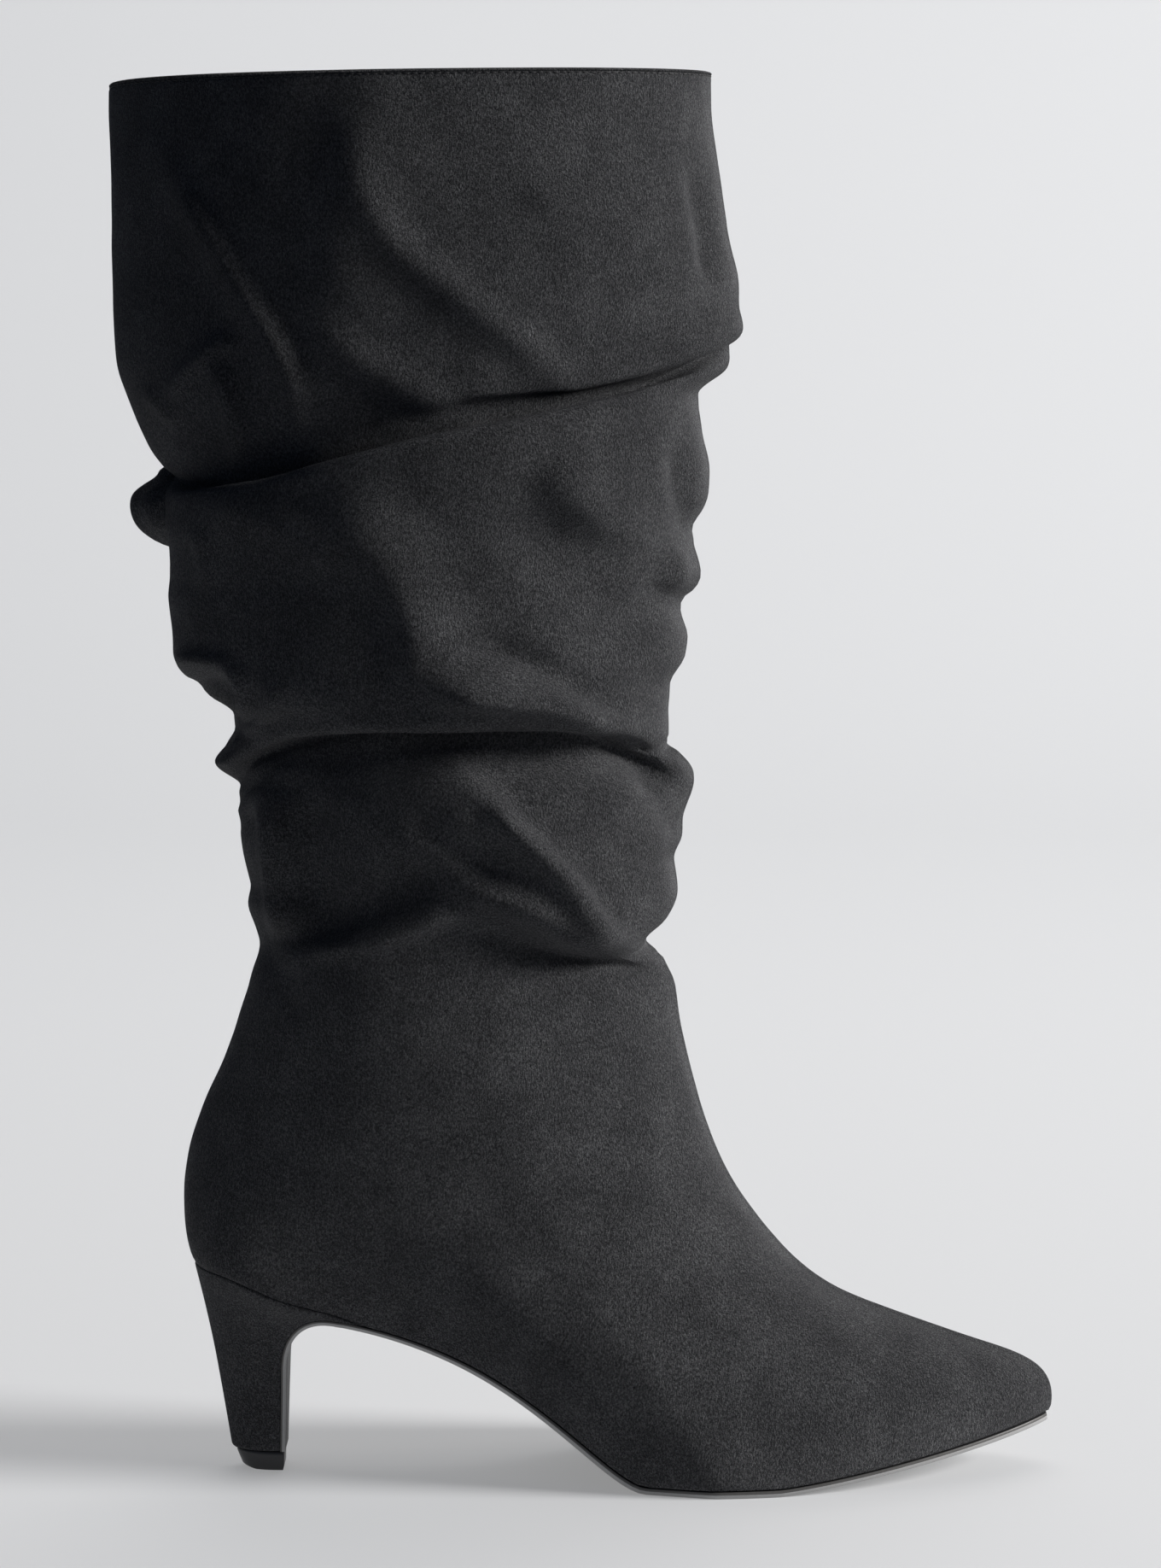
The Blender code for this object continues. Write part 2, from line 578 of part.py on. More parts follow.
def make_heel(finish):
    bottom = TIP_HEIGHT + GAP
    seat = HEEL_HEIGHT - GAP
    stem_back = STEM_FRONT - STEM_LENGTH
    inset = WAIST_THICKNESS + GAP
    loops = []
    for (point, normal), climb in zip(breast_stations(), climb_shares()):
        front = (point[0] + normal[0] * inset, point[1] + normal[1] * inset)
        if climb == 0:
            front = (front[0], bottom)
        back_x = mix(stem_back, SEAT_BACK + HEEL_INSET, smooth(HEEL_BACK_LINE, climb))
        loops.append(heel_loop((back_x, mix(bottom, seat, climb)), front, climb, climb ** STEM_EDGE))
    top_x = loops[-1][0][0]
    top = heel_loop((SEAT_BACK + HEEL_INSET, seat), (top_x, seat_height(top_x) - GAP), 1.0, 0.0)
    loops.append([(x, y, seat_height(x) - GAP) for x, y, z in top])
    count = HEEL_AROUND + 1
    faces = []
    for ring in range(len(loops) - 1):
        for k in range(count):
            j = (k + 1) % count
            faces.append((ring * count + k, ring * count + j, (ring + 1) * count + j, (ring + 1) * count + k))
    faces.append(tuple(range(count)))
    first = (len(loops) - 1) * count
    for k in range(HEEL_AROUND // 2):
        a, b, c, d = first + k, first + k + 1, first + count - 2 - k, first + count - 1 - k
        faces.append((a, b, d) if b == c else (a, b, c, d))
    return mesh_object("heel", [p for loop in loops for p in loop], faces, finish)


def tip_loop(back, front, half, z):
    loop = []
    for k in range(HEEL_AROUND + 1):
        angle = math.pi * (k / HEEL_AROUND - 0.5)
        share = 1 - math.cos(angle)
        width = math.sqrt(1 - (1 - share) ** SEAT_ROUND) * half
        loop.append((mix(back, front, share), -width if angle < 0 else width, z))
    return loop


def make_heel_tip(finish):
    loops = [
        tip_loop(-TIP_LENGTH / 2, TIP_LENGTH / 2, TIP_WIDTH / 2, 0.0),
        tip_loop(STEM_FRONT - STEM_LENGTH, STEM_FRONT, STEM_WIDTH / 2, TIP_HEIGHT),
    ]
    points = [p for loop in loops for p in loop]
    return mesh_object("heel_tip", points, rings_to_faces(2, HEEL_AROUND + 1, True), finish)


def make_insole(finish):
    inset = WALL + INSOLE_CLEARANCE

    def half(x, side):
        slope = (outline_at(x + FINE, side) - outline_at(x - FINE, side)) / (2 * FINE)
        return outline_at(x, side) - inset * math.hypot(1.0, slope)

    rings = []
    for x in foot_stations(SEAT_BACK):
        outer, inner = half(x, -1), half(x, 1)
        if min(outer, inner) < INSOLE_END:
            continue
        low = seat_height(x)
        high = low + INSOLE_THICKNESS
        left, right = swing(x) - outer, swing(x) + inner
        rings.append([(x, left, high), (x, left, low), (x, right, low), (x, right, high)])
    return mesh_object("insole", [p for ring in rings for p in ring], rings_to_faces(len(rings), 4, True), finish)


def main():
    for old in list(bpy.data.objects):
        bpy.data.objects.remove(old)
    suede = material("suede", (0.016, 0.015, 0.016), 0.95)
    make_upper(suede)
    make_heel(material("heel_suede", (0.014, 0.013, 0.014), 0.95))
    make_outsole(material("sole_rubber", (0.030, 0.030, 0.032), 0.55))
    make_heel_tip(material("tip_rubber", (0.018, 0.018, 0.020), 0.45))
    make_insole(material("sock_lining", (0.035, 0.033, 0.032), 0.85))


main()
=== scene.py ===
import math

import bmesh
import bpy
import numpy as np
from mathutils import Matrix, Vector, noise


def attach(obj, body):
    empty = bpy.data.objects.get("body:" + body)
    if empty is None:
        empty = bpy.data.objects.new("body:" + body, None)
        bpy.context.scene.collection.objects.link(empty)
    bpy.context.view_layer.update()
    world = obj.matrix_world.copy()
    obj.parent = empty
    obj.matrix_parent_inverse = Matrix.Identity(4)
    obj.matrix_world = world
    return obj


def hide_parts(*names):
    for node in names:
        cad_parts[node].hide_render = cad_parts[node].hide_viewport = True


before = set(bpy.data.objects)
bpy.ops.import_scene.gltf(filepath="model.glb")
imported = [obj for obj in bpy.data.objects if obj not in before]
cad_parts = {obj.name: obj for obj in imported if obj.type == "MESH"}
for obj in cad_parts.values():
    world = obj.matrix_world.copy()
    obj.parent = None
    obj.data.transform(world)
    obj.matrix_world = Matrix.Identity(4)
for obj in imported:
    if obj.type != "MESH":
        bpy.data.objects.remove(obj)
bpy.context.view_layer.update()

# A slouch boot for the right foot, standing on its sole. Metres, +X to the toe, +Y to the inner side, +Z up.

print("frame loaded", sorted(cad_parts))

# Camera, floor and light

cameraView = {
    "target": (0.098, 0.0, 0.2118),
    "distance": 1.409,
    "elevation": 6.45,  # degrees above the floor
    "lens": 106.37,
}
studio = {
    "floorFinish": {"Base Color": (0.455, 0.462, 0.472, 1), "Roughness": 0.75, "Specular IOR Level": 0.25,
                    "Emission Color": (1, 1, 1, 1),
                    "Emission Strength": 0.27},  # light of its own, so that shadows stay pale
    "air": {"Color": (0.5, 0.66, 1.00, 1), "Strength": 0.078},
    "sweepFront": -0.35,  # the floor is a table that ends before the camera
    "sweepBack": 1.6,  # where the floor turns up into the backdrop
    "sweepRadius": 0.9, "sweepStep": 6, "backdropHeight": 4.0,
    "leftEdge": -0.85, "rightEdge": 2.6,
}
lamps = (
    # name, place, aimed at, size across, watts, colour
    ("keyLamp", (4.56, -0.82, 1.98), (0.08, 0.0, 0.22), 1.6, 385.0, (1.0, 0.985, 0.97)),
    ("topLamp", (0.3, 0.75, 2.00), (0.1, 0.35, 0.00), 1.6, 9.0, (1.0, 0.94, 0.88)),
    ("backdropLamp", (-0.3, 0.95, 1.6), (-0.1, 2.4, 0.3), 1.6, 4.0, (0.96, 0.98, 1.0)),
)


def aimAt(item, place, target):
    item.location = place
    item.rotation_euler = (Vector(target) - Vector(place)).to_track_quat("-Z", "Y").to_euler()


def addObject(name, data):
    made = bpy.data.objects.new(name, data)
    bpy.context.scene.collection.objects.link(made)
    return made


def setInputs(node, inputs):
    # An input's name or number, with the value it has or the socket that feeds it
    for key, value in inputs.items():
        if isinstance(value, bpy.types.NodeSocket):
            node.id_data.links.new(value, node.inputs[key])
        else:
            node.inputs[key].default_value = value


def addNode(tree, kind, inputs=None, **settings):
    node = tree.nodes.new(kind)
    for key, value in settings.items():
        setattr(node, key, value)
    setInputs(node, inputs or {})
    return node


def newMaterial(name):
    made = bpy.data.materials.new(name)
    made.use_nodes = True
    return made, made.node_tree, made.node_tree.nodes["Principled BSDF"]


def makeCamera():
    rise = math.radians(cameraView["elevation"])
    target = Vector(cameraView["target"])
    lens = bpy.data.cameras.new("camera")
    lens.lens = cameraView["lens"]
    camera = addObject("camera", lens)
    aimAt(camera, target + cameraView["distance"] * Vector((0, -math.cos(rise), math.sin(rise))), target)
    bpy.context.scene.camera = camera


def makeStudio():
    back, radius = studio["sweepBack"], studio["sweepRadius"]
    profile = [(studio["sweepFront"], 0.0), (0.0, 0.0), (back, 0.0)]
    profile += [(back + radius * math.sin(math.radians(a)), radius - radius * math.cos(math.radians(a)))
                for a in range(studio["sweepStep"], 91, studio["sweepStep"])]
    profile.append((back + radius, studio["backdropHeight"]))
    points = [(x, y, z) for y, z in profile for x in (studio["leftEdge"], studio["rightEdge"])]
    faces = [(2 * i, 2 * i + 1, 2 * i + 3, 2 * i + 2) for i in range(len(profile) - 1)]
    mesh = bpy.data.meshes.new("floor")
    mesh.from_pydata(points, [], faces)
    mesh.shade_smooth()
    finish, tree, shader = newMaterial("paleFloor")
    setInputs(shader, studio["floorFinish"])
    mesh.materials.append(finish)
    floor = addObject("floor", mesh)

    world = bpy.data.worlds.new("studioAir")
    world.use_nodes = True
    setInputs(world.node_tree.nodes["Background"], studio["air"])
    bpy.context.scene.world = world
    for name, place, target, size, watts, colour in lamps:
        light = bpy.data.lights.new(name, "AREA")
        light.shape = "DISK"
        light.size = size
        light.energy = watts
        light.color = colour
        aimAt(addObject(name, light), place, target)


makeCamera()
makeStudio()
bpy.context.scene.view_settings.view_transform = "Standard"
print("camera, floor and light set")

# The boot's form: the same sizes as the solids, in metres

boot = {
    "heelHeight": 0.065, "shaftStart": 0.139, "bootHeight": 0.4224, "collarRise": 0.0036,
    "toeSpring": 0.014, "footLength": 0.2647, "heelSetback": 0.0208, "ballForward": 0.138,
    "ballFlat": 0.04, "ankleLength": 0.1343, "ankleForward": 0.0612, "collarLength": 0.1793,
    "collarForward": 0.0472, "ballWidth": 0.0825, "ankleWidth": 0.074, "collarWidth": 0.104,
    "toeSwing": 0.004, "wall": 0.0018, "gap": 0.0003, "soleThickness": 0.0023, "waistThickness": 0.0016,
    "stemFront": 0.0072, "breastHeight": 0.032, "breastLean": 0.0007, "breastCorner": 0.018,
    "shankHeight": 0.0488, "seamRun": 0.007,
}
bends = {
    "seatRound": 2.4, "toeTaper": 1.6, "toePoint": 0.7, "instepRound": (3.2, 2.2), "vampRound": 2.2,
    "vampPoint": (0.56, 0.5), "springCurve": 1.2,
    "cornerHandles": (0.65, 0.3, 1.1), "archHandles": (0.59, 0.775, 0.85), "archSteps": 400,
}
# A row of the foot: back out, back up, front out, front up, sag, egg, swell, ankle, full, as in the solids
footColumns = ("backOut", "backUp", "frontOut", "frontUp", "sag", "egg", "swell", "ankle", "full")
footRows = (
    (1.00, 0.000, 0.992, 0.000, 1.00, 0.00, 0.00, 0.00, 1.00),
    (1.11, 0.068, 1.000, 0.037, 0.98, 0.05, 0.02, 0.00, 1.00),
    (1.17, 0.162, 0.987, 0.090, 0.93, 0.18, 0.03, 0.00, 1.00),
    (1.18, 0.250, 0.923, 0.139, 0.85, 0.42, 0.03, 0.00, 0.98),
    (1.17, 0.331, 0.776, 0.185, 0.74, 0.66, 0.02, 0.10, 0.96),
    (1.12, 0.405, 0.612, 0.243, 0.62, 0.85, 0.00, 0.20, 0.93),
    (1.06, 0.473, 0.466, 0.291, 0.50, 0.96, 0.00, 0.35, 0.92),
    (0.96, 0.547, 0.348, 0.355, 0.38, 1.00, 0.00, 0.50, 0.91),
    (0.83, 0.615, 0.244, 0.451, 0.27, 1.00, 0.00, 0.62, 0.91),
    (0.68, 0.696, 0.156, 0.566, 0.18, 1.00, 0.00, 0.74, 0.92),
    (0.49, 0.777, 0.089, 0.682, 0.10, 1.00, 0.00, 0.85, 0.94),
    (0.26, 0.872, 0.039, 0.824, 0.04, 1.00, 0.00, 0.94, 0.97),
    (0.00, 1.000, 0.000, 1.000, 0.00, 1.00, 0.00, 1.00, 1.00),
)
soleSides = (
    # share along the foot, half width of the outer side, of the inner side
    (0.1, 0.026, 0.026), (0.3, 0.02538, 0.02162), (0.5999, 0.04208, 0.04043),
)
seatLine = (
    (0, 0), (0.15, 0.045), (0.38, 0.29), (0.52, 0.49), (0.68, 0.64), (0.85, 0.8), (1, 1),
)
frontLine = (
    (0, 1), (0.046, 0.94), (0.077, 0.899), (0.111, 0.929), (0.162, 0.954), (0.213, 0.973), (0.251, 1.012),
    (0.268, 1.013), (0.291, 0.957), (0.301, 0.91), (0.365, 0.914), (0.397, 0.979), (0.416, 0.99),
    (0.447, 0.957), (0.484, 1.016), (0.519, 0.988), (0.571, 1.034), (0.591, 1.036), (0.643, 1),
    (0.674, 0.997), (0.704, 1.095), (0.734, 1.104), (0.779, 1.113), (0.828, 1.085), (0.891, 1.044),
    (0.954, 1.011), (1, 1),
)
backLine = (
    (0, 1), (0.037, 0.936), (0.083, 0.881), (0.125, 0.877), (0.204, 0.885), (0.259, 0.883),
    (0.284, 0.924), (0.301, 0.902), (0.319, 0.868), (0.332, 0.868), (0.356, 0.96), (0.385, 1.055),
    (0.406, 1.068), (0.507, 1.032), (0.575, 0.975), (0.595, 1.007), (0.621, 1.049), (0.648, 1.077),
    (0.711, 1.112), (0.819, 1.077), (1, 1),
)
shaftSpread = (
    (0, 0), (0.073, 0.09), (0.202, 0.31), (0.265, 0.41), (0.313, 0.41), (0.365, 0.51), (0.442, 0.64),
    (0.581, 0.74), (0.71, 0.84), (0.888, 1), (1, 1),
)
# Folds at eight places around the leg, from the back over the outer side and the front to the inner side.
# height: share of the shaft. bend: degrees that the cloth turns at the fold's middle, plus where the cloth
# above hangs over the cloth below, minus where it is tucked in behind it. size: millimetres of cloth to half
# the bend.
folds = {
    "ankleFold": {
        "height": (0.07, 0.088, 0.133, 0.086, 0.07, 0.08, 0.115, 0.09),
        "bend": (-15, -22, 12, 90, 15, 50, 80, 45),
        "size": (5, 7, 6, 4.8, 5, 6, 7, 6), "tuck": 0.0012, "fadeAbove": 0.022, "fadeBelow": 0.016},
    "middleFold": {
        "height": (0.268, 0.318, 0.334, 0.322, 0.268, 0.3, 0.318, 0.29),
        "bend": (40, 96, 128, 96, 10, 70, 100, 80),
        "size": (3.5, 4.2, 5.0, 4.4, 8, 7, 7, 5), "tuck": 0.0016, "fadeAbove": 0.026, "fadeBelow": 0.012},
    "topFold": {
        "height": (0.577, 0.579, 0.629, 0.672, 0.718, 0.66, 0.592, 0.57),
        "bend": (-45, -140, -132, -128, -30, -75, -95, -70),
        "size": (3.5, 4.6, 4.8, 4.8, 3.2, 6, 7, 4.5), "tuck": 0.0022, "fadeAbove": 0.02, "fadeBelow": 0.03},
}
foldForm = {
    "span": 0.006,  # the rows of cloth lie close together to this many times the knots
    "knots": (-3.0, -2.0, -1.2, -0.6, 0.0, 0.6, 1.2, 2.0, 3.0),
    "reach": 2.2, "steps": 177,  # the turn is followed to this many sizes from the fold's line
    "sharpness": 2.4,  # how evenly the turn is spread over its middle
    "tuckPlace": 1.9, "tuckWidth": 0.55,
}
# The outline from the side, moved so many millimetres to the toe at a share of the shaft's height
frontTrim = (
    (0, 0), (0.02, 1.6), (0.046, 2.6), (0.066, 0.8), (0.09, -7), (0.114, -1.6), (0.14, 0.6),
    (0.177, -0.6), (0.203, 1.8), (0.228, 1), (0.254, 1), (0.276, -0.4), (0.3, -1.5), (0.332, -2),
    (0.358, -1.4), (0.384, -1.2), (0.43, -1.3), (0.464, 0.3), (0.5, -0.4), (0.56, 0), (0.637, -0.5),
    (0.663, -1.8), (0.689, -2.5), (0.715, -1), (0.741, 2.5), (0.767, 1.3), (0.793, 1.5), (0.85, 0),
    (1, 0),
)
backTrim = (
    (0, 0), (0.041, 1), (0.073, 0.5), (0.1, -0.8), (0.125, -2.4), (0.151, -0.4), (0.203, -1),
    (0.228, 0.1), (0.254, -1.4), (0.28, -0.5), (0.3, 2.5), (0.32, 3.2), (0.34, 3), (0.358, 0.6),
    (0.378, 1), (0.43, 1.8), (0.456, 1.8), (0.482, 2.8), (0.508, 3), (0.534, 1.3), (0.56, 0),
    (0.611, -1.5), (0.637, -1.3), (0.689, -0.8), (0.75, 0), (1, 0),
)
# The rounded lobe at the back, on the inner side: turns and widths in degrees
backRoll = {
    "turn": -17, "width": 25, "middle": 0.2955, "halfHeight": 0.013, "reach": 0.015, "roundness": 0.6,
    "pinchTurn": -2, "pinchWidth": 3.0, "pinch": 0.0035,
}


def mix(a, b, share):
    return a + (b - a) * share


def clamp(value):
    return np.clip(value, 0, 1)


def bell(value):
    return np.exp(-value ** 2)


def unit(vectors):
    return vectors / np.linalg.norm(vectors, axis=-1, keepdims=True)


def soften(value):
    value = clamp(value)
    return value * value * (3 - 2 * value)


def smoothThrough(points):
    xs, ys = np.array(points, float).T
    widths = np.diff(xs)
    rises = np.diff(ys) / widths
    slopes = np.zeros(len(xs))
    slopes[0], slopes[-1] = rises[0], rises[-1]
    for i in range(1, len(xs) - 1):
        if rises[i - 1] * rises[i] > 0:
            one, two = 2 * widths[i] + widths[i - 1], widths[i] + 2 * widths[i - 1]
            slopes[i] = (one + two) / (one / rises[i - 1] + two / rises[i])

    def at(place):
        place = np.clip(place, xs[0], xs[-1])
        i = np.clip(np.searchsorted(xs, place, side="right") - 1, 0, len(xs) - 2)
        t = (place - xs[i]) / widths[i]
        return (ys[i] * (1 + 2 * t) * (1 - t) ** 2 + ys[i + 1] * t * t * (3 - 2 * t)
                + widths[i] * (slopes[i] * t * (1 - t) ** 2 - slopes[i + 1] * t * t * (1 - t)))
    return at


toeX = boot["footLength"] - boot["heelSetback"]
seatBack = -boot["heelSetback"]
ballBack = boot["ballForward"] - boot["ballFlat"] / 2
ballFront = boot["ballForward"] + boot["ballFlat"] / 2
breastFront = boot["stemFront"] + boot["breastLean"]
shankX = breastFront + boot["breastCorner"]
seatFront = shankX + boot["seamRun"]
ankleBack = boot["ankleForward"] - boot["ankleLength"] / 2
ankleFront = boot["ankleForward"] + boot["ankleLength"] / 2
shaftHeight = boot["bootHeight"] - boot["shaftStart"]
toeEdge = mix(ankleFront, toeX, footRows[0][2])
ballShare = (boot["ballForward"] + boot["heelSetback"]) / boot["footLength"]


def bezier(points, t):
    a, b, c, d = (np.array(p)[:, None] for p in points)
    return a * (1 - t) ** 3 + 3 * b * t * (1 - t) ** 2 + 3 * c * t * t * (1 - t) + d * t ** 3


cornerUp, cornerAhead, cornerTop = bends["cornerHandles"]
cornerCurve = (
    (breastFront, boot["breastHeight"]),
    (breastFront, mix(boot["breastHeight"], boot["shankHeight"], cornerUp)),
    (mix(breastFront, shankX, cornerAhead), mix(boot["breastHeight"], boot["shankHeight"], cornerTop)),
    (shankX, boot["shankHeight"]),
)
archAhead, archDrop, archFoot = bends["archHandles"]
archCurve = (
    (shankX, boot["shankHeight"]),
    (mix(shankX, ballBack, archAhead), archDrop * boot["shankHeight"]),
    (mix(shankX, ballBack, archFoot), 0.0),
    (ballBack, 0.0),
)
archX, archZ = bezier(archCurve, np.linspace(0, 1, bends["archSteps"]))


def underSole(x):
    ahead = np.clip(x - ballFront, 0, None) / (toeX - ballFront)
    spring = boot["toeSpring"] * ahead ** bends["springCurve"]
    return np.where(x >= ballBack, spring, np.interp(x, archX, archZ))


def slopeAt(curve, x, *more):
    step = 0.0005
    return (curve(x + step, *more) - curve(x - step, *more)) / (2 * step)


def waistToBall(x, waist, ball):
    return mix(waist, ball, clamp((x - shankX) / (ballBack - shankX)))


def soleThickness(x):
    return waistToBall(x, boot["waistThickness"], boot["soleThickness"])


def overSole(x):
    return underSole(x) + soleThickness(x) * np.hypot(1, slopeAt(underSole, x))


seatCurve = smoothThrough(seatLine)


def seatHeight(x):
    drop = boot["heelHeight"] - overSole(seatFront) - boot["gap"]
    seat = boot["heelHeight"] - drop * seatCurve((x - seatBack) / (seatFront - seatBack))
    return np.where(x >= seatFront, overSole(x) + boot["gap"], seat)


sideCurves = {
    -1: smoothThrough([(row[0], row[1]) for row in soleSides]),
    1: smoothThrough([(row[0], row[2]) for row in soleSides]),
}


def seatRounding(share):
    return np.sqrt(clamp(1 - clamp(1 - share) ** bends["seatRound"]))


def halfOutline(share, side):
    half = np.where(side < 0, sideCurves[-1](share), sideCurves[1](share))
    half = half * seatRounding(share / soleSides[0][0])
    front = clamp((share - ballShare) / (1 - ballShare))
    return half * clamp(1 - front ** bends["toeTaper"]) ** bends["toePoint"]


def outlineAt(x, side):
    return halfOutline(clamp((x - seatBack) / boot["footLength"]), side)


def swing(x):
    ahead = np.clip((x - boot["ballForward"]) / (toeX - boot["ballForward"]), 0, None)
    return boot["toeSwing"] * ahead ** 2


def egg(share, ankle):
    widest = mix(ballShare, 0.5, ankle)
    behind = clamp(1 - share / widest) ** mix(*bends["instepRound"], ankle)
    behind = np.sqrt(clamp(1 - behind))
    ahead = clamp((share - widest) / (1 - widest))
    ahead = clamp(1 - ahead ** bends["vampRound"]) ** mix(*bends["vampPoint"], ankle)
    return np.where(share < widest, behind, ahead)


footCurves = {name: smoothThrough([(i, row[k]) for i, row in enumerate(footRows)])
              for k, name in enumerate(footColumns)}


def footSurface(turn, level):
    row = {name: curve(level) for name, curve in footCurves.items()}
    share = (1 - np.cos(turn)) / 2
    side = np.where(np.sin(turn) >= 0, -1, 1)
    x = mix(mix(ankleBack, seatBack, row["backOut"]), mix(ankleFront, toeX, row["frontOut"]), share)
    backZ = mix(boot["heelHeight"], boot["shaftStart"], row["backUp"])
    frontZ = mix(overSole(toeX) + boot["gap"], boot["shaftStart"], row["frontUp"])
    edgeX = mix(seatBack, toeEdge, share)
    dip = mix(boot["heelHeight"], seatHeight(toeEdge), share) - seatHeight(edgeX)
    z = mix(backZ, frontZ, share) - dip * row["sag"]
    flat = halfOutline(share, side) * (1 + row["swell"])
    width = mix(boot["ballWidth"], boot["ankleWidth"], row["ankle"])
    full = egg(share, row["ankle"]) * width / 2 * row["full"]
    return np.stack([x, side * mix(flat, full, row["egg"]) + swing(x), z], -1)


def curveBetween(a, b, c, d, t):
    # A smooth run from b to c, between four values in a row
    return b + t * ((c - a) / 2 + t * (a - 2.5 * b + 2 * c - d / 2 + t * (1.5 * (b - c) + (d - a) / 2)))


def around(values, turn):
    values = np.array(values)
    place = (turn / (2 * np.pi) * len(values)) % len(values)
    at = np.floor(place).astype(int)
    return curveBetween(*(values[(at + i) % len(values)] for i in (-1, 0, 1, 2)), place - at)


def foldHeight(fold, turn):
    return boot["shaftStart"] + shaftHeight * around(fold["height"], turn)


def collarHeight(turn):
    return boot["bootHeight"] + boot["collarRise"] * np.sqrt((1 - np.cos(turn)) / 2)


shaftCurves = {
    "front": smoothThrough(frontLine), "back": smoothThrough(backLine), "spread": smoothThrough(shaftSpread),
    "frontTrim": smoothThrough(frontTrim), "backTrim": smoothThrough(backTrim),
}


def foldShift(fold, turns, cloth):
    # The cloth's path through a fold, column by column: how far it moves out, and how far up
    line = foldHeight(fold, turns)
    bend = np.radians(around(fold["bend"], turns))
    size = around(fold["size"], turns) / 1000
    reach = foldForm["reach"]
    s = np.linspace(-reach, reach, foldForm["steps"])
    bump = np.exp(-np.abs(s) ** foldForm["sharpness"])
    out, up = np.zeros(cloth.shape), np.zeros(cloth.shape)
    for j in range(len(turns)):
        ways = np.stack([np.sin(bend[j] * bump), np.cos(bend[j] * bump)])
        moved = np.cumsum((ways[:, 1:] + ways[:, :-1]) / 2 * np.diff(s), 1)
        path = np.concatenate([[[0], [0]], moved], 1) * size[j]
        half = path[1, -1] / 2
        place = cloth[:, j] - line[j]
        along = np.clip(place / half, -1, 1) * reach
        beyond = np.maximum(np.abs(place) - half, 0)
        fade = bell(beyond / np.where(place > 0, fold["fadeAbove"], fold["fadeBelow"]))
        tucked = bell(along / foldForm["tuckWidth"] + np.sign(bend[j]) * foldForm["tuckPlace"])
        out[:, j] = (np.interp(along, s, path[0]) - path[0, -1] / 2) * fade
        out[:, j] -= fold["tuck"] * tucked * min(1, abs(bend[j]))
        up[:, j] = np.where(np.abs(place) < half, np.interp(along, s, path[1]) - half - place, 0)
    return out, up


def heightShare(z):
    return (z - boot["shaftStart"]) / shaftHeight


def shaftMiddle(share):
    return mix(boot["ankleForward"], boot["collarForward"], share)


def shaftSurface(turns, z):
    turn = turns[None, :] + 0 * z
    share = heightShare(z)
    halfLength = mix(boot["ankleLength"], boot["collarLength"], share) / 2
    halfWidth = mix(boot["ankleWidth"], boot["collarWidth"], shaftCurves["spread"](share)) / 2
    front = shaftMiddle(share) + halfLength * shaftCurves["front"](share)
    back = shaftMiddle(share) - halfLength * shaftCurves["back"](share)
    along = (1 - np.cos(turn)) / 2
    x = mix(back, front, along)
    x += 0.001 * shaftCurves["frontTrim"](share) * soften(2 * along - 1)
    x += 0.001 * shaftCurves["backTrim"](share) * soften(1 - 2 * along)
    side = np.where(np.sin(turn) >= 0, -1, 1)
    y = side * halfWidth * egg(along, np.ones_like(along))
    out = unit(np.stack([-np.cos(turn) / halfLength, -np.sin(turn) / halfWidth], -1))
    push, climb = np.zeros_like(x), np.zeros_like(x)
    for fold in folds.values():
        moved = foldShift(fold, turns, z)
        push += moved[0]
        climb += moved[1]
    rollTurn = np.degrees(np.remainder(turn + np.pi, 2 * np.pi) - np.pi) - backRoll["turn"]
    rollUp = (z + climb - backRoll["middle"]) / backRoll["halfHeight"]
    roll = clamp(1 - rollUp ** 2 - (rollTurn / backRoll["width"]) ** 2)
    push += backRoll["reach"] * roll ** backRoll["roundness"]
    pinchTurn = rollTurn + backRoll["turn"] - backRoll["pinchTurn"]
    push -= backRoll["pinch"] * np.exp(-(pinchTurn / backRoll["pinchWidth"]) ** 2 - rollUp ** 4)
    return np.stack([x + out[..., 0] * push, y + out[..., 1] * push, z + climb], -1)


# Creases of the shaft, seen square from the side, in millimetres: soft ridges (+) and troughs (-). A line
# that runs down has its "above" side towards the toe.

